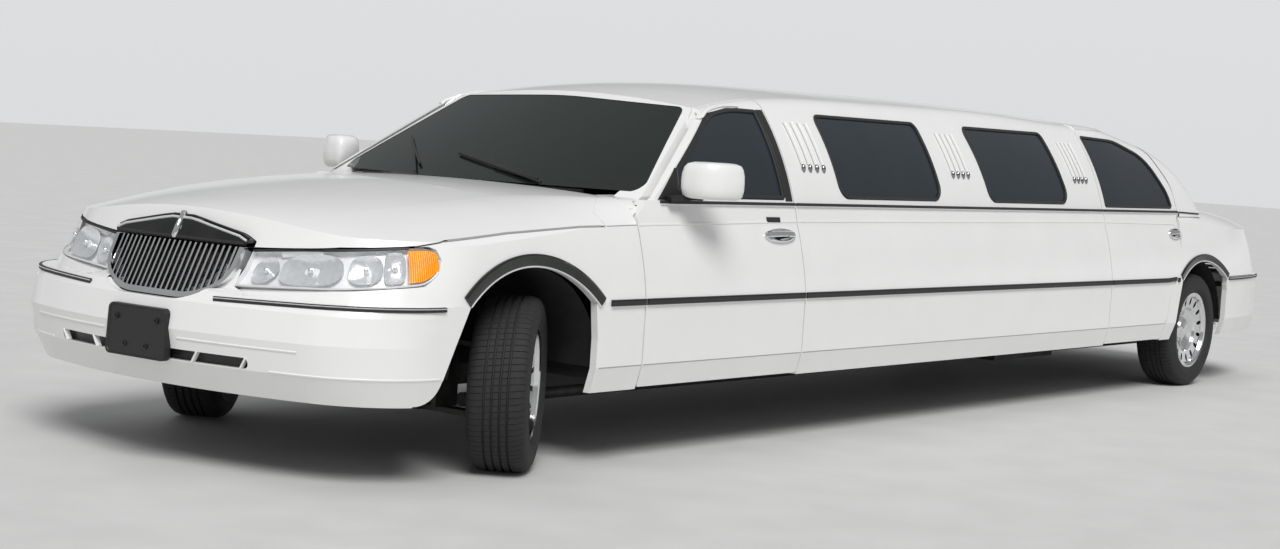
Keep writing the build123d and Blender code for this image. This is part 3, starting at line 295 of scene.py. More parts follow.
def strip(name, points, normals, profile, mat, body="body", closed=False, slot=BY_MATERIAL):
    """Moulding: a profile of (across, out) pairs carried along points that lie on a surface."""
    count, m = len(points), len(profile)
    verts = []
    for i in range(count):
        before = points[(i - 1) % count] if closed or i > 0 else points[i]
        after = points[(i + 1) % count] if closed or i < count - 1 else points[i]
        along = (after - before).normalized()
        out = (normals[i] - along * normals[i].dot(along)).normalized()
        across = along.cross(out).normalized()
        for a, o in profile:
            verts.append(points[i] + across * a + out * o)
    faces = grid(count, m, ring=True, loop=closed)
    if not closed:
        faces += [list(range(m))[::-1], end_face(count, m)]
    return add(name, verts, faces, mat, body, slot=slot)


def oval(width, height, sink=0.001, count=8):
    """Half-round moulding profile that starts a little under the surface."""
    points = [(-width / 2, -sink), (width / 2, -sink)]
    for i in range(count + 1):
        angle = pi * i / count
        points.append((width / 2 * cos(angle), height * sin(angle)))
    return points


def flat_bar(width, height, sink=0.001):
    edge = min(width, height) * 0.25
    return [(-width / 2, -sink), (width / 2, -sink), (width / 2, height - edge), (width / 2 - edge, height),
            (-width / 2 + edge, height), (-width / 2, height - edge)]


def side_path(pairs, side, nodes=None, step=0.03):
    """Points and normals on the side along straight runs between x and z pairs."""
    points, normals = [], []
    for (x0, z0), (x1, z1) in zip(pairs, pairs[1:]):
        n = max(1, int(hypot(x1 - x0, z1 - z0) / step))
        for i in range(n + (1 if (x1, z1) == pairs[-1] else 0)):
            t = i / n
            p, q = on_side(x0 + (x1 - x0) * t, z0 + (z1 - z0) * t, side, nodes)
            points.append(p)
            normals.append(q)
    return points, normals


def rounded(points, radii, steps=6):
    """Closed outline of (x, z) pairs with its corners rounded."""
    ring = []
    n = len(points)
    for i, (p, r) in enumerate(zip(points, radii)):
        p = Vector(p)
        a = (Vector(points[i - 1]) - p).normalized()
        b = (Vector(points[(i + 1) % n]) - p).normalized()
        half = a.angle(b) / 2
        reach = r / tan(half)
        start, end = p + a * reach, p + b * reach
        centre = p + (a + b).normalized() * (r / sin(half))
        u, v = start - centre, end - centre
        for k in range(steps + 1):
            w = (u * (1 - k / steps) + v * (k / steps)).normalized() * r
            ring.append(centre + w)
    return ring


def resampled(ring, step=0.04):
    out = []
    for i, p in enumerate(ring):
        q = ring[(i + 1) % len(ring)]
        n = max(1, int((q - p).length / step))
        out += [p + (q - p) * (k / n) for k in range(n)]
    return out


def revolve(name, profile, count, place, mat, body):
    """Ring about local Y whose section is a closed outline of (radius, y) pairs."""
    verts = []
    for a in circle(count):
        for r, y in profile:
            verts.append(place @ Vector((r * cos(a), y, r * sin(a))))
    add(name, verts, turned(grid(count, len(profile), ring=True, loop=True)), mat, body, slot=None)


def block(name, lo, hi, mat, bevel):
    """Upright block between two corners, its edges rounded."""
    (x0, y0, z0), (x1, y1, z1) = lo, hi
    verts = [(x0, y0, z0), (x1, y0, z0), (x1, y1, z0), (x0, y1, z0),
             (x0, y0, z1), (x1, y0, z1), (x1, y1, z1), (x0, y1, z1)]
    faces = [[0, 3, 2, 1], [4, 5, 6, 7], [0, 1, 5, 4], [1, 2, 6, 5], [2, 3, 7, 6], [3, 0, 4, 7]]
    obj = add(name, verts, faces, mat, smooth=False, slot=None)
    edge = obj.modifiers.new("soft", "BEVEL")
    edge.width = bevel
    edge.segments = 3
    obj.data.shade_smooth()


# Camera, light and floor
CAMERA_AT = Vector((6.21847815 + FRONT_AXLE, 6.03302804, 1.30329879))
YAW, PITCH, ROLL = 3.78275593, -0.0666125377, 0.0644663797
FOCAL_PIXELS = 2206.80197
PHOTO_WIDTH = 1280
SENSOR_WIDTH = 36.0
FLOOR_HALF = 60

ahead = Vector((cos(PITCH) * cos(YAW), cos(PITCH) * sin(YAW), sin(PITCH)))
level = Vector((sin(YAW), -cos(YAW), 0))
above = level.cross(ahead)
right = level * cos(ROLL) + above * sin(ROLL)
upward = above * cos(ROLL) - level * sin(ROLL)
camera = bpy.data.objects.new("camera", bpy.data.cameras.new("camera"))
bpy.context.scene.collection.objects.link(camera)
camera.matrix_world = Matrix((
    (right.x, upward.x, -ahead.x, CAMERA_AT.x),
    (right.y, upward.y, -ahead.y, CAMERA_AT.y),
    (right.z, upward.z, -ahead.z, CAMERA_AT.z),
    (0, 0, 0, 1)))
camera.data.sensor_width = SENSOR_WIDTH
camera.data.lens = FOCAL_PIXELS / PHOTO_WIDTH * SENSOR_WIDTH
camera.data.clip_end = 200
bpy.context.scene.camera = camera
bpy.context.scene.view_settings.view_transform = "Standard"

world = bpy.data.worlds.new("studio")
bpy.context.scene.world = world
world.use_nodes = True
wt = world.node_tree
studio = wt.nodes["Background"]
studio.inputs["Strength"].default_value = 1.0
sky_coords = made(wt, "TexCoord")
split = made(wt, "SeparateXYZ")
shift = made(wt, "MapRange", From_Min=-1.0)
sky = made(wt, "ValToRGB")
SKY_BANDS = [(-0.10, 0.30), (-0.02, 0.72), (0.09, 0.74), (0.14, 0.30), (0.36, 0.34), (0.56, 0.38),
             (1.0, 0.42)]
while len(sky.color_ramp.elements) < len(SKY_BANDS):
    sky.color_ramp.elements.new(0.5)
for element, (height, _) in zip(sky.color_ramp.elements, SKY_BANDS):
    element.position = (height + 1) / 2
for element, (_, glow) in zip(sky.color_ramp.elements, SKY_BANDS):
    element.color = (glow * 0.985, glow, glow * 1.01, 1)
wt.links.new(sky_coords.outputs["Generated"], split.inputs["Vector"])
wt.links.new(split.outputs["Z"], shift.inputs["Value"])
wt.links.new(shift.outputs["Result"], sky.inputs["Fac"])
wt.links.new(sky.outputs["Color"], studio.inputs["Color"])

sun_data = bpy.data.lights.new("soft_key", "SUN")
sun_data.energy = 2.5
sun_data.angle = radians(28)
sun = bpy.data.objects.new("soft_key", sun_data)
bpy.context.scene.collection.objects.link(sun)
sun.rotation_mode = "QUATERNION"
sun.rotation_quaternion = Vector((-0.50, -0.55, -0.85)).to_track_quat("-Z", "Y")

floor_mat = shader("floor", (0.62, 0.62, 0.61), 0.7, spread=0.03, scale=3.0)
floor_mesh = bpy.data.meshes.new("studio_floor")
floor_corners = [(x * FLOOR_HALF, y * FLOOR_HALF, 0) for x, y in ((-1, -1), (1, -1), (1, 1), (-1, 1))]
floor_mesh.from_pydata(floor_corners, [], [[0, 1, 2, 3]])
floor = bpy.data.objects.new("studio_floor", floor_mesh)
bpy.context.scene.collection.objects.link(floor)
floor_mesh.materials.append(floor_mat)
floor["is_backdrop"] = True

# Sides, and the seams of the stretch in millimetres ahead of the front axle
SIDES = (("left", 1), ("right", -1))
FRONT_DOORS = ["door_front_left", "door_front_right"]
REAR_DOORS = ["door_rear_left", "door_rear_right"]
STRETCH = 3048
STRETCH_FRONT = -1740
STRETCH_BACK = STRETCH_FRONT - STRETCH

# Mouldings along the side
MOULDING_Z = 0.6335
BELT_Z = 1.0145
STRETCH_RUN = ("stretch", "body", ["side_panels"], fx(STRETCH_FRONT - 1), fx(STRETCH_BACK + 11))
RUNS = [
    ("fender", "body", ["front_fenders"], fx(-376), fx(-591)),
    ("front_door", "door_front_{}", FRONT_DOORS, fx(-603), fx(-1727)),
    STRETCH_RUN,
    ("rear_door", "door_rear_{}", REAR_DOORS, fx(STRETCH_BACK - 3), rx(402)),
    ("quarter", "body", ["rear_quarters"], rx(383), rx(362)),
]
BELT_RUNS = [
    ("front_door", "door_front_{}", FRONT_DOORS, fx(-760), fx(-1725)),
    STRETCH_RUN,
    ("rear_door", "door_rear_{}", REAR_DOORS, fx(STRETCH_BACK - 3), rx(272)),
]
MOULDING_LAYERS = [("moulding", 0.0, flat_bar(0.025, 0.008), RUBBER),
                   # Top band: chrome with a painted dark reflection
                   ("moulding_top", 0.007, oval(0.005, 0.0095, count=4), CHROME_DARK_REFLECTION),
                   # Low line: a painted highlight under the moulding
                   ("moulding_low", -0.0135, oval(0.005, 0.0095, count=4), CHROME_HIGHLIGHT)]
for side_name, side in SIDES:
    for label, body, nodes, x0, x1 in RUNS:
        for layer, lift, profile, mat in MOULDING_LAYERS:
            z = MOULDING_Z + lift
            path = side_path([(x0, z), (x1, z)], side, nodes, 0.1)
            strip(f"{layer}_{label}_{side_name}", *path, profile, mat, body.format(side_name))


def tilted(side, count):
    """Directions that lean a little up from straight sideways."""
    return [Vector((0, side, 0.25)).normalized()] * count


for side_name, side in SIDES:
    for label, body, nodes, x0, x1 in BELT_RUNS:
        body = body.format(side_name)
        points, _ = side_path([(x0, BELT_Z), (x1, BELT_Z)], side, nodes, 0.1)
        normals = tilted(side, len(points))
        strip(f"belt_{label}_{side_name}", points, normals, flat_bar(0.013, 0.010), RUBBER, body)
        # Bright line under the belt: trim with a painted highlight
        strip(f"belt_bright_{label}_{side_name}", moved(points, 0, 0, -0.008), normals,
              oval(0.006, 0.012, count=4), CHROME_HIGHLIGHT, body)

# Window surrounds
FRONT_GLASS = [(-900, 1032), (-935, 1150), (-1290, 1374), (-1480, 1408), (-1672, 1408), (-1668, 1032)]
FRONT_RADII = [15, 40, 460, 900, 20, 15]
REAR_GLASS = [(-4828, 1032), (-4808, 1408), (-5198, 1398), (-5518, 1318), (-5683, 1120), (-5708, 1032)]
REAR_RADII = [15, 20, 600, 320, 200, 20]
STRETCH_RADII = [70, 45, 45, 70]
STRETCH_WINDOWS = [
    [(-2125, 1042), (-2100, 1408), (-3010, 1408), (-3045, 1042)],
    [(-3520, 1042), (-3455, 1408), (-4330, 1408), (-4400, 1042)],
]
SEAL_WIDTH, FRONT_SEAL_WIDTH = 0.014, 0.018
CORNER_BACK, CORNER_FRONT, CORNER_FOOT = fx(-1575), fx(-1215), 1.25
RAIL_START, RAIL_LENGTH, RAIL_STATIONS = -4772, 420, 25
RAIL_ROOF_Y, RAIL_DOOR_Z = 0.622, 1.442
OVER_ROOF = 1.7
PILLAR_COVER = [(fx(-1698), 1.028), (fx(-1698), 1.408)]

def inset(ring, amount):
    """Ring of (x, z) points moved towards its inside."""
    count = len(ring)
    area = sum(ring[i - 1][0] * ring[i][1] - ring[i][0] * ring[i - 1][1] for i in range(count))
    way = 1 if area > 0 else -1
    out = []
    for i in range(count):
        along = (Vector(ring[(i + 1) % count]) - Vector(ring[i - 1])).normalized()
        out.append(Vector(ring[i]) + Vector((-along[1], along[0])) * way * amount)
    return out


def window_ring(pairs, radii):
    """Outline in metres of a window that is given in millimetres."""
    return resampled(rounded([(fx(x), z / 1000) for x, z in pairs], [r / 1000 for r in radii]), 0.03)


def surround(name, pairs, radii, side, body, panes, width):
    """Black seal on the glass inside a window's edge, with a thin bright line along it."""
    # The bright line is chrome with a painted dark reflection
    for label, deep, profile, mat in (
            ("seal", width / 2 + 0.001, flat_bar(width, 0.0085, 0.001), RUBBER),
            ("bright", width * 0.30, oval(0.004, 0.0100, 0.0, 4), CHROME_DARK_REFLECTION)):
        points, normals = [], []
        for p in inset(window_ring(pairs, radii), deep):
            hit, normal = on_side(p[0], p[1], side, panes)
            points.append(Vector((p[0], hit.y, p[1])))
            normals.append(normal)
        strip(f"{name}_{label}", points, normals, profile, mat, body, closed=True)


for side_name, side in SIDES:
    door, pane = f"door_front_{side_name}", f"glass_front_{side_name}"
    surround(f"frame_front_{side_name}", FRONT_GLASS, FRONT_RADII, side, door, [pane], FRONT_SEAL_WIDTH)
    surround(f"frame_rear_{side_name}", REAR_GLASS, REAR_RADII, side, f"door_rear_{side_name}",
             [f"glass_rear_{side_name}"], SEAL_WIDTH)
    for number, pairs in enumerate(STRETCH_WINDOWS, 1):
        surround(f"frame_{number}_{side_name}", pairs, STRETCH_RADII, side, "body", ["side_windows"],
                 SEAL_WIDTH)
    outside = inset(window_ring(FRONT_GLASS, FRONT_RADII), -0.0085)
    corner = sorted(q for q in outside if CORNER_BACK < q[0] < CORNER_FRONT and q[1] > CORNER_FOOT)
    found = [on_side(q[0], q[1], side, [door, pane]) for q in corner]
    strip(f"frame_corner_{side_name}", *zip(*found), flat_bar(0.019, 0.0085, 0.002), PAINT, door)
    verts = []
    for k in range(RAIL_STATIONS):
        x = fx(RAIL_START - RAIL_LENGTH * k / (RAIL_STATIONS - 1))
        roof = skin(Vector((x, side * RAIL_ROOF_Y, OVER_ROOF)), Vector((0, 0, 1)), ["roof_panel"])[0]
        foot, normal = on_side(x, RAIL_DOOR_Z, side, [f"door_rear_{side_name}", "side_panels"])
        verts += [roof + Vector((0, 0, 0.001)), (roof + foot) / 2 + Vector((0, side * 0.004, 0.006)),
                  foot + normal * 0.0015]
    add(f"drip_rail_{side_name}", verts, grid(RAIL_STATIONS, 3), PAINT)
    strip(f"pillar_cover_{side_name}", *side_path(PILLAR_COVER, side, [door]),
          flat_bar(0.050, 0.003, 0.003), PLASTIC, door)

# Arch trims: chrome with a painted dark reflection, and a lip with a painted highlight

def arc_points(a, b, c, count):
    """Points on the circle through three (x, z) points, from the first to the last, and its centre."""
    (ax, az), (bx, bz), (cx, cz) = a, b, c
    d = 2 * (ax * (bz - cz) + bx * (cz - az) + cx * (az - bz))
    a2, b2, c2 = ax * ax + az * az, bx * bx + bz * bz, cx * cx + cz * cz
    ux = (a2 * (bz - cz) + b2 * (cz - az) + c2 * (az - bz)) / d
    uz = (a2 * (cx - bx) + b2 * (ax - cx) + c2 * (bx - ax)) / d
    radius = hypot(ax - ux, az - uz)
    t0 = atan2(az - uz, ax - ux)
    t1 = atan2(cz - uz, cx - ux)
    angles = [t0 + (t1 - t0) * i / count for i in range(count + 1)]
    return [(ux + radius * cos(t), uz + radius * sin(t)) for t in angles], (ux, uz)


ARCHES = [
    ("front", ["front_fenders"], (fx(437), 0.656), (fx(50), 0.7985), (fx(-322), 0.640), 0.046),
    ("rear", ["rear_quarters"] + REAR_DOORS, (rx(330), 0.648), (rx(-10), 0.757), (rx(-344), 0.648), 0.040),
]
for side_name, side in SIDES:
    for label, nodes, a, b, c, width in ARCHES:
        pairs, hub = arc_points(a, b, c, 40)
        points, inner = [], []
        for x, z in pairs:
            y = on_side(x, z, side, nodes)[0].y
            points.append(Vector((x, y, z)))
            inward = Vector((x - hub[0], z - hub[1])).normalized() * (width / 2)
            inner.append(Vector((x - inward.x, y + side * 0.004, z - inward.y)))
        normals = [Vector((0, side, 0.12)).normalized()] * len(points)
        profile = [(side * across, out) for across, out in
                   ((-width / 2, -0.004), (width / 2, -0.004), (width / 2, 0.004), (width * 0.32, 0.009),
                    (-width * 0.32, 0.011), (-width / 2, 0.006))]
        strip(f"arch_{label}_{side_name}", points, normals, profile, CHROME_DARK_REFLECTION)
        strip(f"arch_lip_{label}_{side_name}", inner, normals, oval(0.008, 0.007, 0.004, 4), CHROME_HIGHLIGHT)

# Handles and key pad
# A handle has its place on the door and half its length, a cup ring its reach and how far it stands out
HANDLES = [("front", fx(-1578), 0.884, 0.118), ("rear", rx(365), 0.892, 0.085)]
CUP_RINGS = [(1.0, -0.002), (1.0, 0.006), (0.93, 0.012), (0.80, 0.013), (0.72, 0.006), (0.5, 0.003)]
CUP_HALF_HEIGHT, CUP_POINTS = 0.030, 32
GRIP_REACH, GRIP_LIFT = 0.85, 0.004
GRIP = [(-0.010, -0.006), (0.010, -0.006), (0.013, 0.0), (0.008, 0.006), (-0.008, 0.006), (-0.013, 0.0)]
KEY_PAD = [(fx(-1500), 0.950), (fx(-1598), 0.950)]
for side_name, side in SIDES:
    for label, x, z, half in HANDLES:
        door = f"door_{label}_{side_name}"
        verts = []
        for reach, outward in CUP_RINGS:
            for t in circle(CUP_POINTS):
                hit, normal = on_side(x + half * reach * cos(t), z + CUP_HALF_HEIGHT * reach * sin(t), side,
                                      [door])
                verts.append(hit + normal * outward)
        add(f"handle_cup_{label}_{side_name}", verts, tube(len(CUP_RINGS), CUP_POINTS), CHROME, door)
        path = [(x + way * half * GRIP_REACH, z + GRIP_LIFT) for way in (-1, 1)]
        points, normals = side_path(path, side, [door], 0.02)
        points = [p + q * (0.008 + 0.016 * sin(pi * i / (len(points) - 1)))
                  for i, (p, q) in enumerate(zip(points, normals))]
        strip(f"handle_{label}_{side_name}", points, normals, GRIP, CHROME, door)
strip("key_pad", *side_path(KEY_PAD, 1, ["door_front_left"], 0.02), flat_bar(0.022, 0.005), PLASTIC,
      "door_front_left")

# Ribs on the pillars: the first rib's top and foot, and the pitch, in millimetres
RIBS = [("pillar_1", -1851, -1868, 54.0), ("pillar_2", -3172, -3196, 50.0), ("pillar_3", -4488, -4520, 46.0)]
RIB_TOP_Z, RIB_FOOT_Z, DROP_Z = 1.362, 1.186, 1.168
DROP_ROWS, DROP_POINTS = 5, 10
for side_name, side in SIDES:
    for label, top_x, foot_x, pitch in RIBS:
        for i in range(4):
            x_top, x_foot = fx(top_x - i * pitch), fx(foot_x - i * pitch)
            points, normals = side_path([(x_top, RIB_TOP_Z), (x_foot, RIB_FOOT_Z)], side, ["side_panels"])
            strip(f"rib_{label}_{i}_{side_name}", points, normals, oval(0.017, 0.012, count=5), PAINT)
            # Thin grey strips of painted shade along both sides of each rib
            for edge, offset in (("front", 0.0105), ("back", -0.0105)):
                strip(f"rib_{edge}_{label}_{i}_{side_name}", moved(points, offset, 0, 0), normals,
                      flat_bar(0.0035, 0.0012), CREASE)
            hit, _ = on_side(x_foot, DROP_Z, side, ["side_panels"])
            verts = []
            for r in range(DROP_ROWS):
                a = r / (DROP_ROWS - 1) * pi / 2
                for t in circle(DROP_POINTS):
                    verts.append(hit + Vector((0.013 * cos(t) * cos(a), side * 0.012 * sin(a),
                                               0.022 * sin(t) * cos(a))))
            # Drops in chrome with a painted grey reflection
            add(f"rib_drop_{label}_{i}_{side_name}", verts, grid(DROP_ROWS, DROP_POINTS, ring=True), CHROME_GREY_REFLECTION)

# Front end
NOSE_HUB, NOSE_REACH = fx(300), 0.75
FAR_FROM_HUB = 2.5


def around(angle, z, nodes, side=1):
    """Point and outward normal on the nose at an angle from straight ahead and a height."""
    way = Vector((cos(angle), side * sin(angle), 0))
    hub = Vector((NOSE_HUB, 0, z))
    return skin(hub + way * FAR_FROM_HUB, way, nodes, hub + way * NOSE_REACH)


def blend(table, t):
    """Value between the rows of a table of (place, value) pairs."""
    for (t0, v0), (t1, v1) in zip(table, table[1:]):
        if t <= t1:
            return v0 + (v1 - v0) * max(0.0, (t - t0) / (t1 - t0))
    return table[-1][1]


def nose_angle(x_mm, y_mm):
    return atan2(y_mm / 1000, fx(x_mm) - NOSE_HUB)


STRIP_HEIGHTS = [(nose_angle(1015, 327), 0.620), (nose_angle(879, 797), 0.630), (nose_angle(546, 975), 0.633)]
BUMPER = ["front_bumper"]
STRIP_BAR, STRIP_BRIGHT = flat_bar(0.017, 0.009), oval(0.0075, 0.0115, 0.003, 4)
for side_name, side in SIDES:
    points, normals = run(STRIP_HEIGHTS[0][0], STRIP_HEIGHTS[-1][0], 40,
                          lambda angle: around(angle, blend(STRIP_HEIGHTS, angle), BUMPER, side))
    normals = in_plan(normals)
    strip(f"bumper_strip_{side_name}", points, normals, STRIP_BAR, RUBBER)
    # Bright line on the bumper strip: chrome insert with a painted highlight
    strip(f"bumper_bright_{side_name}", moved(points, 0, 0, 0.003), normals, STRIP_BRIGHT, CHROME_HIGHLIGHT)

# Bumper creases: soft ridges on the skin
CREASE_RIDGE = [(-0.006, -0.002), (0.006, -0.002), (0.004, 0.002), (-0.001, 0.003)]
for label, z, inner, outer in (("upper", 0.470, nose_angle(1050, 190), nose_angle(975, 700)),
                               ("lower", 0.392, nose_angle(960, 560), nose_angle(533, 984))):
    for side_name, side in SIDES:
        path = run(inner, outer, 30, lambda angle: around(angle, z, BUMPER, side))
        strip(f"bumper_crease_{label}_{side_name}", *path, CREASE_RIDGE, PAINT)

# Headlamps
LAMP_IN, LAMP_OUT = nose_angle(925, 300), nose_angle(520, 940)
LAMP_EDGE = [(0.0, nose_angle(933, 329)), (0.25, nose_angle(917, 339)), (0.5, nose_angle(901, 349)),
             (1.0, nose_angle(871, 355))]
LAMP_TOP = [(LAMP_IN, 0.772), (nose_angle(885, 345), 0.786), (nose_angle(771, 690), 0.815),
            (nose_angle(590, 890), 0.838), (nose_angle(545, 925), 0.834), (LAMP_OUT, 0.806)]
LAMP_LOW = [(LAMP_IN, 0.662), (nose_angle(885, 345), 0.668), (nose_angle(830, 690), 0.684),
            (nose_angle(700, 860), 0.702), (nose_angle(598, 915), 0.716), (nose_angle(560, 935), 0.742),
            (LAMP_OUT, 0.784)]
COLUMNS, ROWS = 56, 14
AMBER_IN, AMBER_OUT = 0.835, 0.975
FLUTES = 14
BOWL_POINTS, BOWL_RINGS, BOWL_MIDDLE = 28, 6, 0.86
BULB_ROWS, BULB_POINTS, BULB_RADIUS = 7, 12, 0.011
BEZEL_DEPTH, BULB_DEPTH, AMBER_PROUD = 0.026, 0.012, 0.0022


def softened(table, t):
    """Value between a table's rows with its corners rounded off."""
    return sum(blend(table, t + k * 0.008) for k in range(-3, 4)) / 7


def lamp_angle(u):
    return LAMP_IN + (LAMP_OUT - LAMP_IN) * u


def lamp_point(u, v, side, depth):
    """Point at a depth under the lamp's face, where u runs outward and v up."""
    inner = blend(LAMP_EDGE, v)
    angle = inner + (LAMP_OUT - inner) * u
    z = softened(LAMP_LOW, angle) * (1 - v) + softened(LAMP_TOP, angle) * v
    point, normal = around(angle, z, ["headlamps"], side)
    return point - normal * depth


def lamp_sheet(name, u0, u1, side, depth, mat, v0=0.0, v1=1.0, wave=0.0, walls=0.0):
    """Sheet that follows the lamp's face, fluted by wave, its edge drawn to the depth walls."""
    def place(i, j, deep):
        return lamp_point(u0 + (u1 - u0) * i / COLUMNS, v0 + (v1 - v0) * j / ROWS, side, deep)

    verts = []
    for i in range(COLUMNS + 1):
        ripple = wave * (0.5 + 0.5 * cos(2 * pi * i * FLUTES / COLUMNS))
        verts += [place(i, j, depth + ripple) for j in range(ROWS + 1)]
    width = ROWS + 1
    faces = [quad if side < 0 else quad[::-1] for quad in grid(COLUMNS + 1, width)]
    if walls:
        edge = [(i, 0) for i in range(COLUMNS + 1)] + [(COLUMNS, j) for j in range(1, ROWS + 1)]
        edge += [(i, ROWS) for i in range(COLUMNS - 1, -1, -1)] + [(0, j) for j in range(ROWS - 1, 0, -1)]
        base = len(verts)
        verts += [place(i, j, walls) for i, j in edge]
        for k, (i, j) in enumerate(edge):
            n = (k + 1) % len(edge)
            faces.append([i * width + j, edge[n][0] * width + edge[n][1], base + n, base + k])
    return add(name, verts, faces, mat)


def lamp_bowl(name, u, v, wide, high, side, depth, mat, square):
    """Reflector bowl whose rim lies under the lens and whose middle lies deeper."""
    verts = []
    for k in range(BOWL_RINGS + 1):
        reach = 1 - k / BOWL_RINGS * BOWL_MIDDLE
        sink = 0.010 + depth * (1 - reach * reach)
        for t in circle(BOWL_POINTS):
            cx, sx = cos(t), sin(t)
            ex = abs(cx) ** square * (1 if cx > 0 else -1)
            ez = abs(sx) ** square * (1 if sx > 0 else -1)
            verts.append(lamp_point(u + wide * reach * ex, v + high * reach * ez, side, sink))
    add(name, verts, tube(BOWL_RINGS + 1, BOWL_POINTS), mat)


def lamp_bulb(name, centre):
    verts = []
    for r in range(BULB_ROWS):
        a = -pi / 2 + pi * r / (BULB_ROWS - 1)
        for t in circle(BULB_POINTS):
            verts.append(centre + Vector((BULB_RADIUS * cos(t) * cos(a), BULB_RADIUS * sin(t) * cos(a),
                                          BULB_RADIUS * sin(a))))
    add(name, verts, grid(BULB_ROWS, BULB_POINTS, ring=True), REFLECTOR)


BOWLS = [("inner", 0.135, 0.47, 0.080, 0.37, 0.024, 1.0), ("main", 0.385, 0.50, 0.160, 0.43, 0.034, 0.75),
         ("outer", 0.645, 0.50, 0.078, 0.38, 0.030, 0.8), ("corner", 0.775, 0.52, 0.050, 0.42, 0.026, 0.55)]
for side_name, side in SIDES:
    lens = lamp_sheet(f"lamp_lens_{side_name}", 0.0, 1.0, side, -0.0005, CLEAR)
    lamp_sheet(f"lamp_bezel_{side_name}", 0.0, 1.0, side, BEZEL_DEPTH, BEZEL, walls=0.0005)
    for label, u, v, wide, high, depth, square in BOWLS:
        lamp_bowl(f"lamp_bowl_{label}_{side_name}", u, v, wide, high, side, depth * 0.5, FLUTED, square)
        lamp_bulb(f"lamp_bulb_{label}_{side_name}", lamp_point(u, v, side, BULB_DEPTH))
    lamp_sheet(f"lamp_amber_{side_name}", AMBER_IN, AMBER_OUT, side, -AMBER_PROUD, AMBER, 0.07, 0.93,
               wave=0.0012)
    # The rim is bright trim with a painted highlight
    for part, u0, u1, height, table, profile, mat in (
            ("rim", 0.05, 1.0, softened, LAMP_LOW, oval(0.007, 0.003, 0.003, 4), CHROME_HIGHLIGHT),
            ("brow", 0.125, 0.86, blend, LAMP_TOP, flat_bar(0.008, 0.002, 0.004), RUBBER)):
        path = run(u0, u1, 59, lambda u: around(lamp_angle(u), height(table, lamp_angle(u)), ["headlamps"],
                                                side))
        strip(f"lamp_{part}_{side_name}", *path, profile, mat)
    if side == 1:
        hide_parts("headlamps")

# Header and grille
HEADER = ["hood_header"]
HALF_EDGE = [(0, 888), (40, 885), (100, 876), (200, 858), (300, 840), (348, 822)]
HEADER_EDGE = [(-y, z) for y, z in HALF_EDGE[:0:-1]] + HALF_EDGE
EDGE_DROP = 6
FOOT_HALF, FOOT_Z = 0.332, 0.810
points, normals = [], []
for (y0, z0), (y1, z1) in zip(HEADER_EDGE, HEADER_EDGE[1:]):
    for i in range(6):
        y, z = (y0 + (y1 - y0) * i / 6) / 1000, (z0 + (z1 - z0) * i / 6 - EDGE_DROP) / 1000
        point, normal = on_front(y, z, HEADER)
        if point is not None:
            points.append(point)
            normals.append(normal)
# The lip is bright trim with a painted highlight
strip("header_lip", points, normals, oval(0.010, 0.006, 0.004, 5), CHROME_HIGHLIGHT, "hood")
strip("header_seal", moved(points, -0.012, 0, 0.009), normals, oval(0.008, 0.006, 0.004, 4), RUBBER, "hood")
path = run(-FOOT_HALF, FOOT_HALF, 40, lambda y: on_front(y, FOOT_Z, HEADER))
strip("header_foot", *path, flat_bar(0.010, 0.004, 0.003), RUBBER, "hood")

# Bare upright badge on the header
BADGE_POINTS, HEADER_TOP, HOOD_LEAN, BELOW_HEADER_X = 12, 0.880, 0.475, fx(880)
verts = []
BADGE = [(0.806, 0.010, 0.006), (0.815, 0.013, 0.014), (0.840, 0.012, 0.017), (0.865, 0.010, 0.016),
         (0.885, 0.012, 0.015), (0.896, 0.015, 0.012), (0.902, 0.009, 0.004)]
for z, half, proud in BADGE:
    point, _ = on_front(0.0, min(z, HEADER_TOP), HEADER)
    base_x = point.x - max(0.0, z - HEADER_TOP) * HOOD_LEAN if point else BELOW_HEADER_X
    for t in circle(BADGE_POINTS):
        verts.append(Vector((base_x + proud * cos(t), half * sin(t), z)))
add("header_badge", verts, tube(len(BADGE), BADGE_POINTS, start=True), CHROME, "hood")

# Dark screen between the grille bars
verts = []
SCREEN_COLUMNS, SCREEN_ROWS, SCREEN_HALF = 32, 16, 0.322
SCREEN_TOP, SCREEN_DEPTH, SCREEN_BULGE = 0.796, 0.178, 2.3
for i in range(SCREEN_COLUMNS + 1):
    y = -SCREEN_HALF + 2 * SCREEN_HALF * i / SCREEN_COLUMNS
    low_z = 0.800 - SCREEN_DEPTH * max(0.0, 1 - (abs(y) / 0.326) ** 3.2)
    for j in range(SCREEN_ROWS + 1):
        z = low_z + (SCREEN_TOP - low_z) * j / SCREEN_ROWS
        x = fx(922) + (0.800 - z) * HOOD_LEAN - y * y / (2 * SCREEN_BULGE) - 0.047
        verts.append(Vector((x, y, z)))
add("grille_screen", verts, grid(SCREEN_COLUMNS + 1, SCREEN_ROWS + 1), PLASTIC)

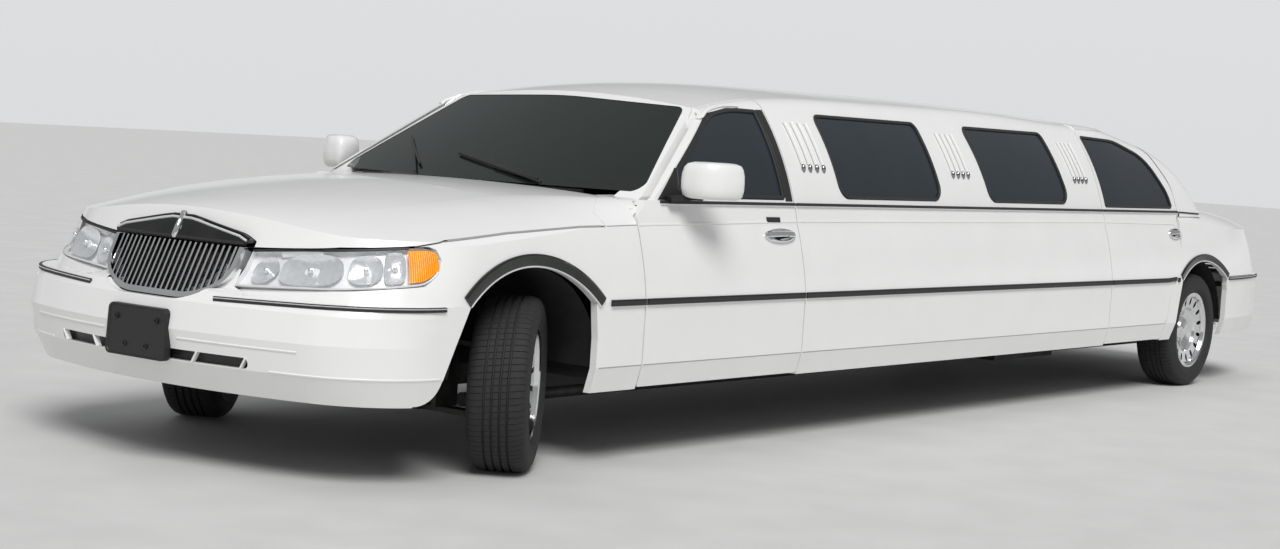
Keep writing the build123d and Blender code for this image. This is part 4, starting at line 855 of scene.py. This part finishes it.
# Skin that closes the corner between grille rim, lamp and bumper. A row has its height, its place
# ahead of the axle in millimetres, and its inner and outer edge. The shelf under it has its back,
# front, inner and outer edge and its height.
CORNER_ROWS = [(0.637, 999, 0.248, 0.415), (0.647, 985, 0.257, 0.415), (0.6505, 950, 0.262, 0.400),
               (0.660, 938, 0.281, 0.338), (0.690, 923, 0.309, 0.338), (0.720, 909, 0.322, 0.338)]
CORNER_COLUMNS = 9
CORNER_SHELF = (860, 985, 0.200, 0.350, 0.6408)
for side_name, side in SIDES:
    verts = []
    for i in range(CORNER_COLUMNS):
        for z, forward, inner, outer in CORNER_ROWS:
            y = inner + (outer - inner) * i / (CORNER_COLUMNS - 1)
            height = min(z, 0.6505 - 0.0055 * max(0, i - 6)) if outer > 0.35 else z
            verts.append(Vector((fx(forward - 4) + (0.335 - y) * 0.168, side * y, height)))
    add(f"nose_corner_{side_name}", verts, grid(CORNER_COLUMNS, len(CORNER_ROWS)), PAINT)
    back, front, near, far, height = CORNER_SHELF
    verts = [Vector((fx(x), side * y, height))
             for x, y in ((back, near), (front, near), (front, far), (back, far))]
    add(f"nose_shelf_{side_name}", verts, [[0, 1, 2, 3]], PAINT)

# Plate bracket with rounded corners, bosses and a recess
PLATE_HALF, PLATE_LOW, PLATE_HIGH, PLATE_FACE, PLATE_LEAN = 0.158, 0.382, 0.566, fx(1081), 0.03
PLATE_LAYERS = [(-0.030, 1.0), (-0.006, 1.0), (0.0, 0.985), (0.0, 0.93), (-0.003, 0.915), (-0.003, 0.5)]
BOSSES = [(-0.105, 0.520), (0.105, 0.520), (-0.055, 0.425), (0.055, 0.425)]
BOSS = [(0.0, -0.004), (0.010, -0.004), (0.010, 0.004), (0.006, 0.005), (0.005, 0.001), (0.0, 0.001)]
ring = rounded([(-PLATE_HALF, PLATE_LOW), (-PLATE_HALF + 0.006, PLATE_HIGH),
                (PLATE_HALF - 0.006, PLATE_HIGH), (PLATE_HALF, PLATE_LOW)], [0.022] * 4, 5)
middle = Vector((0, (PLATE_LOW + PLATE_HIGH) / 2))
verts = []
for back, share in PLATE_LAYERS:
    for q in ring:
        w = middle + (q - middle) * share
        verts.append(Vector((PLATE_FACE + back - (w[1] - PLATE_LOW) * PLATE_LEAN, w[0], w[1])))
bracket = add("plate_frame", verts, tube(len(PLATE_LAYERS), len(ring)), PLASTIC)
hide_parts("plate_bracket")
for number, (y, z) in enumerate(BOSSES):
    place = Matrix.Translation((PLATE_FACE - 0.004, y, z)) @ Matrix.Rotation(-pi / 2, 4, "Z")
    revolve(f"plate_boss_{number}", BOSS, 14, place, PLASTIC, "body")

# Low air slot: dark back and upright dividers
SLOT_TOP_Z, SLOT_Z, SLOT_HALF_HEIGHT, DIVIDER_LEAN = 0.455, 0.411, 0.020, 0.012
points, normals = run(-0.5, 0.5, 30, lambda y: on_front(y, SLOT_TOP_Z, BUMPER))
strip("slot_back", [Vector((q.x - 0.036, q.y, SLOT_Z)) for q in points], normals,
      [(-0.024, 0), (0.024, 0), (0.024, 0.002), (-0.024, 0.002)], PLASTIC)
for number, y in enumerate((-0.470, -0.262, 0.262, 0.470)):
    point, normal = on_front(y, SLOT_TOP_Z, BUMPER)
    lean = DIVIDER_LEAN if y > 0 else -DIVIDER_LEAN
    ends = [Vector((point.x - 0.012, y + way * lean, SLOT_Z + way * SLOT_HALF_HEIGHT)) for way in (-1, 1)]
    strip(f"slot_divider_{number}", ends, [normal, normal], flat_bar(0.008, 0.008, 0.012), PAINT)

# Door mirrors
MIRROR_RING = [(-846, 932), (-834, 985), (-848, 1045), (-893, 1095), (-950, 1116), (-1008, 1122),
               (-1032, 1104), (-1022, 1078), (-985, 1040), (-962, 990), (-952, 932)]
MIRROR_LEVELS = [(1036, 0.70), (1040, 0.84), (1050, 0.94), (1075, 0.995), (1105, 1.0), (1135, 0.985),
                 (1160, 0.93), (1174, 0.84), (1181, 0.66), (1183, 0.40)]
MIRROR_FOOT = [(-800, 905, 1028), (-850, 920, 1036), (-905, 945, 1042), (-930, 985, 1042)]
FOOT_SECTION = [(-0.030, -0.014), (0.030, -0.014), (0.024, 0.010), (-0.024, 0.010)]
SAIL = [(-752, 1024), (-960, 1024), (-960, 1150), (-925, 1150)]


def curved(ring, parts):
    """Closed curve through the points of a ring, with so many parts between two of them."""
    out = []
    for k in range(len(ring)):
        p0, p1, p2, p3 = (Vector(ring[(k + i) % len(ring)]) for i in (-1, 0, 1, 2))
        for i in range(parts):
            t = i / parts
            out.append(0.5 * ((2 * p1) + (p2 - p0) * t + (2 * p0 - 5 * p1 + 4 * p2 - p3) * t * t
                              + (3 * p1 - p0 - 3 * p2 + p3) * t ** 3))
    return out


mirror_curve = curved(MIRROR_RING, 4)
centre = Vector([sum(q[i] for q in MIRROR_RING) / len(MIRROR_RING) for i in (0, 1)])
for side_name, side in SIDES:
    door = f"door_front_{side_name}"
    verts = []
    for z, share in MIRROR_LEVELS:
        for q in mirror_curve:
            w = centre + (q - centre) * share
            verts.append(Vector((fx(w[0]), side * w[1] / 1000, z / 1000)))
    faces = tube(len(MIRROR_LEVELS), len(mirror_curve), start=True)
    housing = add(f"mirror_shell_{side_name}", verts, faces, PAINT, door)
    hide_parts(f"mirror_{side_name}")
    points = [Vector((fx(x), side * y / 1000, z / 1000)) for x, y, z in MIRROR_FOOT]
    strip(f"mirror_foot_{side_name}", points, [Vector((0, 0, 1))] * 4, FOOT_SECTION, PLASTIC, door)
    points = []
    for (x0, z0), (x1, z1) in zip(SAIL, SAIL[1:] + SAIL[:1]):
        for i in range(8):
            point, _ = on_side(fx(x0 + (x1 - x0) * i / 8), (z0 + (z1 - z0) * i / 8) / 1000, side, [door])
            points.append(point + Vector((0, side * 0.003, 0)))
    middle = sum(points, Vector()) / len(points) + Vector((0, side * 0.006, 0))
    count = len(points)
    add(f"mirror_sail_{side_name}", points + [middle], [[k, (k + 1) % count, count] for k in range(count)],
        PLASTIC, door)

# Wheel wells
WELLS = [("front", FRONT_AXLE + 0.045, 0.425, 0.46, 0.935), ("rear", REAR_AXLE - 0.010, 0.395, 0.60, 0.925)]
WELL_STEPS, WELL_Z = 28, 0.342
for label, hub_x, reach, inner_y, outer_y in WELLS:
    for side_name, side in SIDES:
        verts = []
        for i in range(WELL_STEPS + 1):
            a = 0.03 * pi + 0.94 * pi * i / WELL_STEPS
            for y in (inner_y, outer_y):
                verts.append(Vector((hub_x + reach * cos(a), side * y, WELL_Z + reach * sin(a))))
        add(f"wheel_liner_{label}_{side_name}", verts, grid(WELL_STEPS + 1, 2), UNDER)

# Tyres


def wheel_place(node):
    """Place of a wheel in the rest pose: local Y is its axle."""
    pts = [NODES[node].matrix_world @ v.co for v in NODES[node].data.vertices]
    low_corner, high_corner = (Vector([pick(q[i] for q in pts) for i in range(3)]) for pick in (min, max))
    mean = (low_corner + high_corner) / 2
    best = None
    for degrees in (-33.0, 0.0, 33.0):
        axle = Vector((-sin(radians(degrees)), cos(radians(degrees)), 0))
        spread = max(abs((q - mean).dot(axle)) for q in pts)
        if best is None or spread < best[0]:
            best = (spread, degrees)
    return Matrix.Translation(mean) @ Matrix.Rotation(radians(best[1]), 4, "Z")


GROOVES = (-0.043, -0.0145, 0.0145, 0.043)
TREAD_R, GROOVE_HALF, GROOVE_DEEP, TREAD_HALF = 0.3282, 0.0052, 0.0080, 0.070
tread = [(TREAD_R - 0.001, -TREAD_HALF)]
for y in GROOVES:
    tread += [(TREAD_R, y - GROOVE_HALF), (TREAD_R - GROOVE_DEEP, y - GROOVE_HALF * 0.6),
              (TREAD_R - GROOVE_DEEP, y + GROOVE_HALF * 0.6), (TREAD_R, y + GROOVE_HALF)]
tread.append((TREAD_R - 0.001, TREAD_HALF))
SHOULDER = [(0.3215, 0.091), (0.3120, 0.1015)]
WALL = [(0.2980, 0.1090), (0.2900, 0.1112), (0.2885, 0.1100), (0.2640, 0.1130), (0.2620, 0.1142),
        (0.2400, 0.1110), (0.2380, 0.1124), (0.2300, 0.1075), (0.2225, 0.1020), (0.2186, 0.0960)]
section = [(r, -y, "wall") for r, y in reversed(WALL)] + [(r, -y, "edge") for r, y in reversed(SHOULDER)]
section += [(r, y, "rib" if r > TREAD_R - 0.003 else "wall") for r, y in tread]
section += [(r, y, "edge") for r, y in SHOULDER] + [(r, y, "wall") for r, y in WALL]
BLOCKS = 84
BLOCK_CUTS = ((0.0, 0.0), (0.004, 0.0035), (0.008, 0.0))
SKEW = 0.10
HUB_CAP = [(0.0, 0.064), (0.030, 0.066), (0.036, 0.062), (0.040, 0.056), (0.0, 0.050)]
BRAKE_DISC = [(0.060, -0.020), (0.148, -0.020), (0.148, -0.044), (0.060, -0.044)]
for end in ("front", "rear"):
    for side_name, side in SIDES:
        node, wheel = f"tyre_{end}_{side_name}", f"wheel_{end}_{side_name}"
        place = wheel_place(node)
        verts = []
        for start in circle(BLOCKS):
            for turn, cut in BLOCK_CUTS:
                for r, y, kind in section:
                    skew = SKEW * y / TREAD_HALF if kind != "wall" else 0.0
                    deep = cut if kind in ("rib", "edge") else 0.0
                    angle = start + turn + skew * 0.25
                    verts.append(place @ Vector(((r - deep) * cos(angle), y, (r - deep) * sin(angle))))
        faces = turned(grid(BLOCKS * len(BLOCK_CUTS), len(section), ring=True, loop=True))
        tyre = add(f"tread_{end}_{side_name}", verts, faces, TYRE, wheel)
        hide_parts(node)
        revolve(f"hub_cap_{end}_{side_name}", [(r, side * y) for r, y in HUB_CAP], 24, place, CHROME, wheel)
        revolve(f"brake_disc_{end}_{side_name}", [(r, side * y) for r, y in BRAKE_DISC], 40, place, IRON,
                f"knuckle_{side_name}" if end == "front" else "body")

# Character lines along the side: the sill line is a thin grey strip of painted shade, the shoulder line a
# ridge in body paint
SEGMENTS = [
    ("fender", "body", ["front_fenders"], -324, -591, -591),
    ("front_door", "door_front_{}", FRONT_DOORS, -603, -1726, -1726),
    ("stretch", "body", ["side_panels"], STRETCH_FRONT - 1, STRETCH_BACK + 11, STRETCH_BACK + 11),
    ("rear_door", "door_rear_{}", REAR_DOORS, STRETCH_BACK - 3, -5640, -5765),
]
SILL_Z = 0.3885
QUARTER_LINE = [(fx(-5765), 1.0145), (fx(-6075), 1.006)]
SHOULDER_HEIGHTS = [(591, 0.9255), (1730, 0.944), (4788, 0.955), (5773, 0.946)]
for side_name, side in SIDES:
    for label, body, nodes, x0, sill_x, shoulder_x in SEGMENTS:
        body = body.format(side_name)
        path = side_path([(fx(x0), SILL_Z), (fx(sill_x), SILL_Z)], side, nodes, 0.12)
        strip(f"sill_shade_line_{label}_{side_name}", *path, flat_bar(0.0035, 0.0006, 0.001), CREASE, body)
        if label != "fender":
            places = [x0 + (shoulder_x - x0) * k / 12 for k in range(13)]
            path = side_path([(fx(x), blend(SHOULDER_HEIGHTS, -x)) for x in places], side, nodes, 0.2)
            strip(f"shoulder_line_{label}_{side_name}", *path, oval(0.010, 0.0035, 0.001, 4), PAINT, body)
    points, _ = side_path(QUARTER_LINE, side, ["rear_quarters"])
    strip(f"quarter_line_{side_name}", points, tilted(side, len(points)), flat_bar(0.008, 0.005), RUBBER)

# Seams round the hood: a light grey floor of painted shade in the side gap, a floor in body paint in its rear
# corner
HOOD_SIDE = [(-470, 0.8653), (-172, 0.892), (237, 0.916), (384, 0.9190)]
REACH = (0.014, 0.022)
OVER_HOOD, LOWEST_SKIN = 1.6, 0.9
SEAM_FRONT, SEAM_LENGTH, SEAM_STEPS = 470, 838, 48
FENDER_LINE = [(fx(-402), 0.9205), (fx(-591), 0.9255)]
PATCH_START, PATCH_LENGTH, PATCH_Y, PATCH_WIDTH, PATCH_SINK = -372, 268, 0.730, 0.165, 0.0035


def skin_height(x, y):
    """Height of the skin at a place, whatever gap lies there."""
    found = []
    for reach in REACH:
        for k in range(8):
            spot = Vector((x + reach * cos(pi * k / 4), y + reach * sin(pi * k / 4), OVER_HOOD))
            hit, _ = skin(spot, Vector((0, 0, 1)))
            if hit is not None and hit.z > LOWEST_SKIN:
                found.append(hit.z)
    found.sort()
    return found[len(found) // 2]


PILLAR_CORNER = [(-1203, 0.6895, 1.3080), (-1240, 0.682, 1.348), (-1268, 0.671, 1.372),
                 (-1296, 0.654, 1.393)]
CELLS = 16
for side_name, side in SIDES:
    points, normals = [], []
    for k in range(SEAM_STEPS + 1):
        x = SEAM_FRONT - SEAM_LENGTH * k / SEAM_STEPS
        z = blend(HOOD_SIDE, -x)
        upper, up_normal = on_side(fx(x), z + 0.008, side, ["hood"])
        lower, low_normal = on_side(fx(x), z - 0.008, side, ["front_fenders"])
        points.append((upper + lower) / 2)
        normals.append((up_normal + low_normal).normalized())
    strip(f"hood_seam_shade_{side_name}", points, normals, flat_bar(0.010, 0.002, 0.006), CREASE)
    # The fender crease is a thin strip of painted shade
    path = side_path(FENDER_LINE, side, ["front_fenders"])
    strip(f"fender_line_{side_name}", *path, flat_bar(0.0035, 0.0008, 0.001), CREASE)
    verts = []
    for i in range(CELLS + 1):
        for j in range(CELLS + 1):
            x = fx(PATCH_START - PATCH_LENGTH * i / CELLS)
            y = side * (PATCH_Y + PATCH_WIDTH * j / CELLS)
            verts.append(Vector((x, y, skin_height(x, y) - PATCH_SINK)))
    add(f"hood_corner_{side_name}", verts, grid(CELLS + 1, CELLS + 1), PAINT)
    points = [Vector((fx(x), side * y, z)) for x, y, z in PILLAR_CORNER]
    strip(f"pillar_corner_{side_name}", points, [Vector((0.25, side * 0.75, 0.6)).normalized()] * 4,
          flat_bar(0.026, 0.002, 0.006), PAINT)

# Rear end
TAIL_HUB, TAIL_REACH = rx(-500), 0.9
STRIP_END = atan2(0.975, -0.130)
REAR_STRIP_Z, LID_BAR_Z, PLATE_Z = 0.629, 0.905, 0.775
LID_BAR_HALF, PLATE_HALF_WIDTH = 0.58, 0.155


def behind(angle, z, nodes, side=1):
    """Point and outward normal on the tail at an angle from straight behind and a height."""
    way = Vector((-cos(angle), side * sin(angle), 0))
    hub = Vector((TAIL_HUB, 0, z))
    return skin(hub + way * FAR_FROM_HUB, way, nodes, hub + way * TAIL_REACH)


points, normals = run(-STRIP_END, STRIP_END, 96, lambda angle: behind(
    abs(angle), REAR_STRIP_Z, ["rear_bumper"], 1 if angle >= 0 else -1))
normals = in_plan(normals)
strip("rear_strip", points, normals, STRIP_BAR, RUBBER)
# The bright line is chrome with a painted highlight
strip("rear_strip_bright", moved(points, 0, 0, 0.003), normals, STRIP_BRIGHT, CHROME_HIGHLIGHT)
path = run(-LID_BAR_HALF, LID_BAR_HALF, 60, lambda y: on_front(y, LID_BAR_Z, ["boot_lid"], -1))
strip("lid_bar", *path, oval(0.030, 0.010, 0.004, 6), CHROME, "boot_lid")
points, _ = run(-PLATE_HALF_WIDTH, PLATE_HALF_WIDTH, 12, lambda y: on_front(y, PLATE_Z, ["boot_lid"], -1))
strip("rear_plate", points, [Vector((-1, 0, 0))] * len(points), flat_bar(0.155, 0.006, 0.004), PLASTIC,
      "boot_lid")
TIP_X, TIP_Y, TIP_Z = rx(-1330), 0.475, 0.262
EXHAUST_TIP = [(0.026, -0.09), (0.032, -0.09), (0.032, 0.075), (0.026, 0.075)]
for side_name, side in SIDES:
    place = Matrix.Translation((TIP_X, side * TIP_Y, TIP_Z)) @ Matrix.Rotation(pi / 2, 4, "Z")
    revolve(f"exhaust_tip_{side_name}", EXHAUST_TIP, 24, place, CHROME, "body")
    for number, (z, mat) in enumerate(((0.735, RED), (0.775, REFLECTOR), (0.815, RED))):
        path = run(side * 0.655, side * 0.855, 16, lambda y: on_front(y, z, ["tail_lamps"], -1))
        if len(path[0]) > 2:
            strip(f"tail_rib_{number}_{side_name}", *path, oval(0.010, 0.004, 0.002, 4), mat, slot="lamp_red")

# Padded seats
CUSHION_CELLS = 20
ROUNDNESS = 7.0
CHANNEL_DEPTH, CHANNEL_HALF_WIDTH, FADE = 0.012, 0.010, 2.718


def cushion(name, place, size, crown, channels=()):
    """Crowned pad with rounded corners, drawn-in sides and sewn channels across its face."""
    verts, faces = [], []
    index = {}

    def vertex(u, v, w):
        key = (round(u, 4), round(v, 4), round(w, 4))
        if key not in index:
            norm = (abs(u) ** ROUNDNESS + abs(v) ** ROUNDNESS + abs(w) ** ROUNDNESS) ** (1 / ROUNDNESS)
            x, y, z = u / norm, v / norm, w / norm
            waist = 1 - 0.025 * (1 - abs(z)) * (1 - 0.6 * abs(x * y))
            pz = z * size[2] / 2 + crown * (1 - x * x) * (1 - y * y) * max(0.0, z)
            if z > 0.4:
                for channel in channels:
                    offset = (x - channel) * size[0] / 2 / CHANNEL_HALF_WIDTH
                    pz -= CHANNEL_DEPTH * FADE ** (-offset ** 2) * (z - 0.4) / 0.6
            index[key] = len(verts)
            verts.append(place @ Vector((x * waist * size[0] / 2, y * waist * size[1] / 2, pz)))
        return index[key]

    for axis in range(3):
        for end_ in (-1, 1):
            for i in range(CUSHION_CELLS):
                for j in range(CUSHION_CELLS):
                    corner = []
                    for di, dj in ((0, 0), (1, 0), (1, 1), (0, 1)):
                        point = [-1 + 2 * (i + di) / CUSHION_CELLS, -1 + 2 * (j + dj) / CUSHION_CELLS]
                        point.insert(axis, end_)
                        corner.append(vertex(*point))
                    faces.append(corner if (end_ > 0) != (axis == 1) else corner[::-1])
    obj = add(name, verts, faces, LEATHER)
    sub = obj.modifiers.new("soft", "SUBSURF")
    sub.levels = 1
    sub.render_levels = 1
    return obj


def at(x, y, z, lean=0.0):
    """Place of a pad that leans back by some degrees."""
    return Matrix.Translation((x, y, z)) @ Matrix.Rotation(radians(lean), 4, "Y")


SEAT_Y, REAR_SEAT_Y, BENCH_Y, BENCH_BACK_Y = 0.395, 0.335, -0.590, -0.775
FRONT_CHANNELS = (-0.55, -0.2, 0.15, 0.5)
BENCH_CHANNELS = (-0.34, 0.0, 0.34)
for side_name, side in SIDES:
    y = side * SEAT_Y
    seat = cushion(f"seat_base_{side_name}", at(fx(-1410), y, 0.545, -4), (0.55, 0.52, 0.125), 0.022,
                   FRONT_CHANNELS)
    cushion(f"seat_back_{side_name}", at(fx(-1712), y, 0.825, 74), (0.50, 0.51, 0.115), 0.020, FRONT_CHANNELS)
    cushion(f"seat_head_{side_name}", at(fx(-1772), y, 1.135, 80), (0.150, 0.27, 0.085), 0.016)
    if side == 1:
        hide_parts("front_seats")
for label, x in (("a", -2390), ("b", -2970), ("c", -3550), ("d", -4130)):
    bench = cushion(f"lounge_base_{label}", at(fx(x), BENCH_Y, 0.535), (0.575, 0.52, 0.165), 0.020,
                    BENCH_CHANNELS)
    cushion(f"lounge_back_{label}", at(fx(x), BENCH_BACK_Y, 0.775) @ Matrix.Rotation(radians(-84), 4, "X"),
            (0.575, 0.36, 0.115), 0.016, BENCH_CHANNELS)
    if label == "a":
        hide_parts("side_bench")
block("lounge_plinth", (fx(-4440), -0.85, 0.372), (fx(-2110), -0.37, 0.462), LINING, 0.008)
for side_name, side in SIDES:
    y = side * REAR_SEAT_Y
    seat = cushion(f"rear_base_{side_name}", at(rx(235), y, 0.625, -3), (0.58, 0.655, 0.125), 0.020,
                   (-0.4, 0.1, 0.55))
    cushion(f"rear_back_{side_name}", at(rx(20), y, 0.845, 76), (0.40, 0.655, 0.120), 0.018,
            (-0.45, 0.0, 0.45))
    if side == 1:
        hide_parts("rear_seat")

# Finish
low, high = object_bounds()
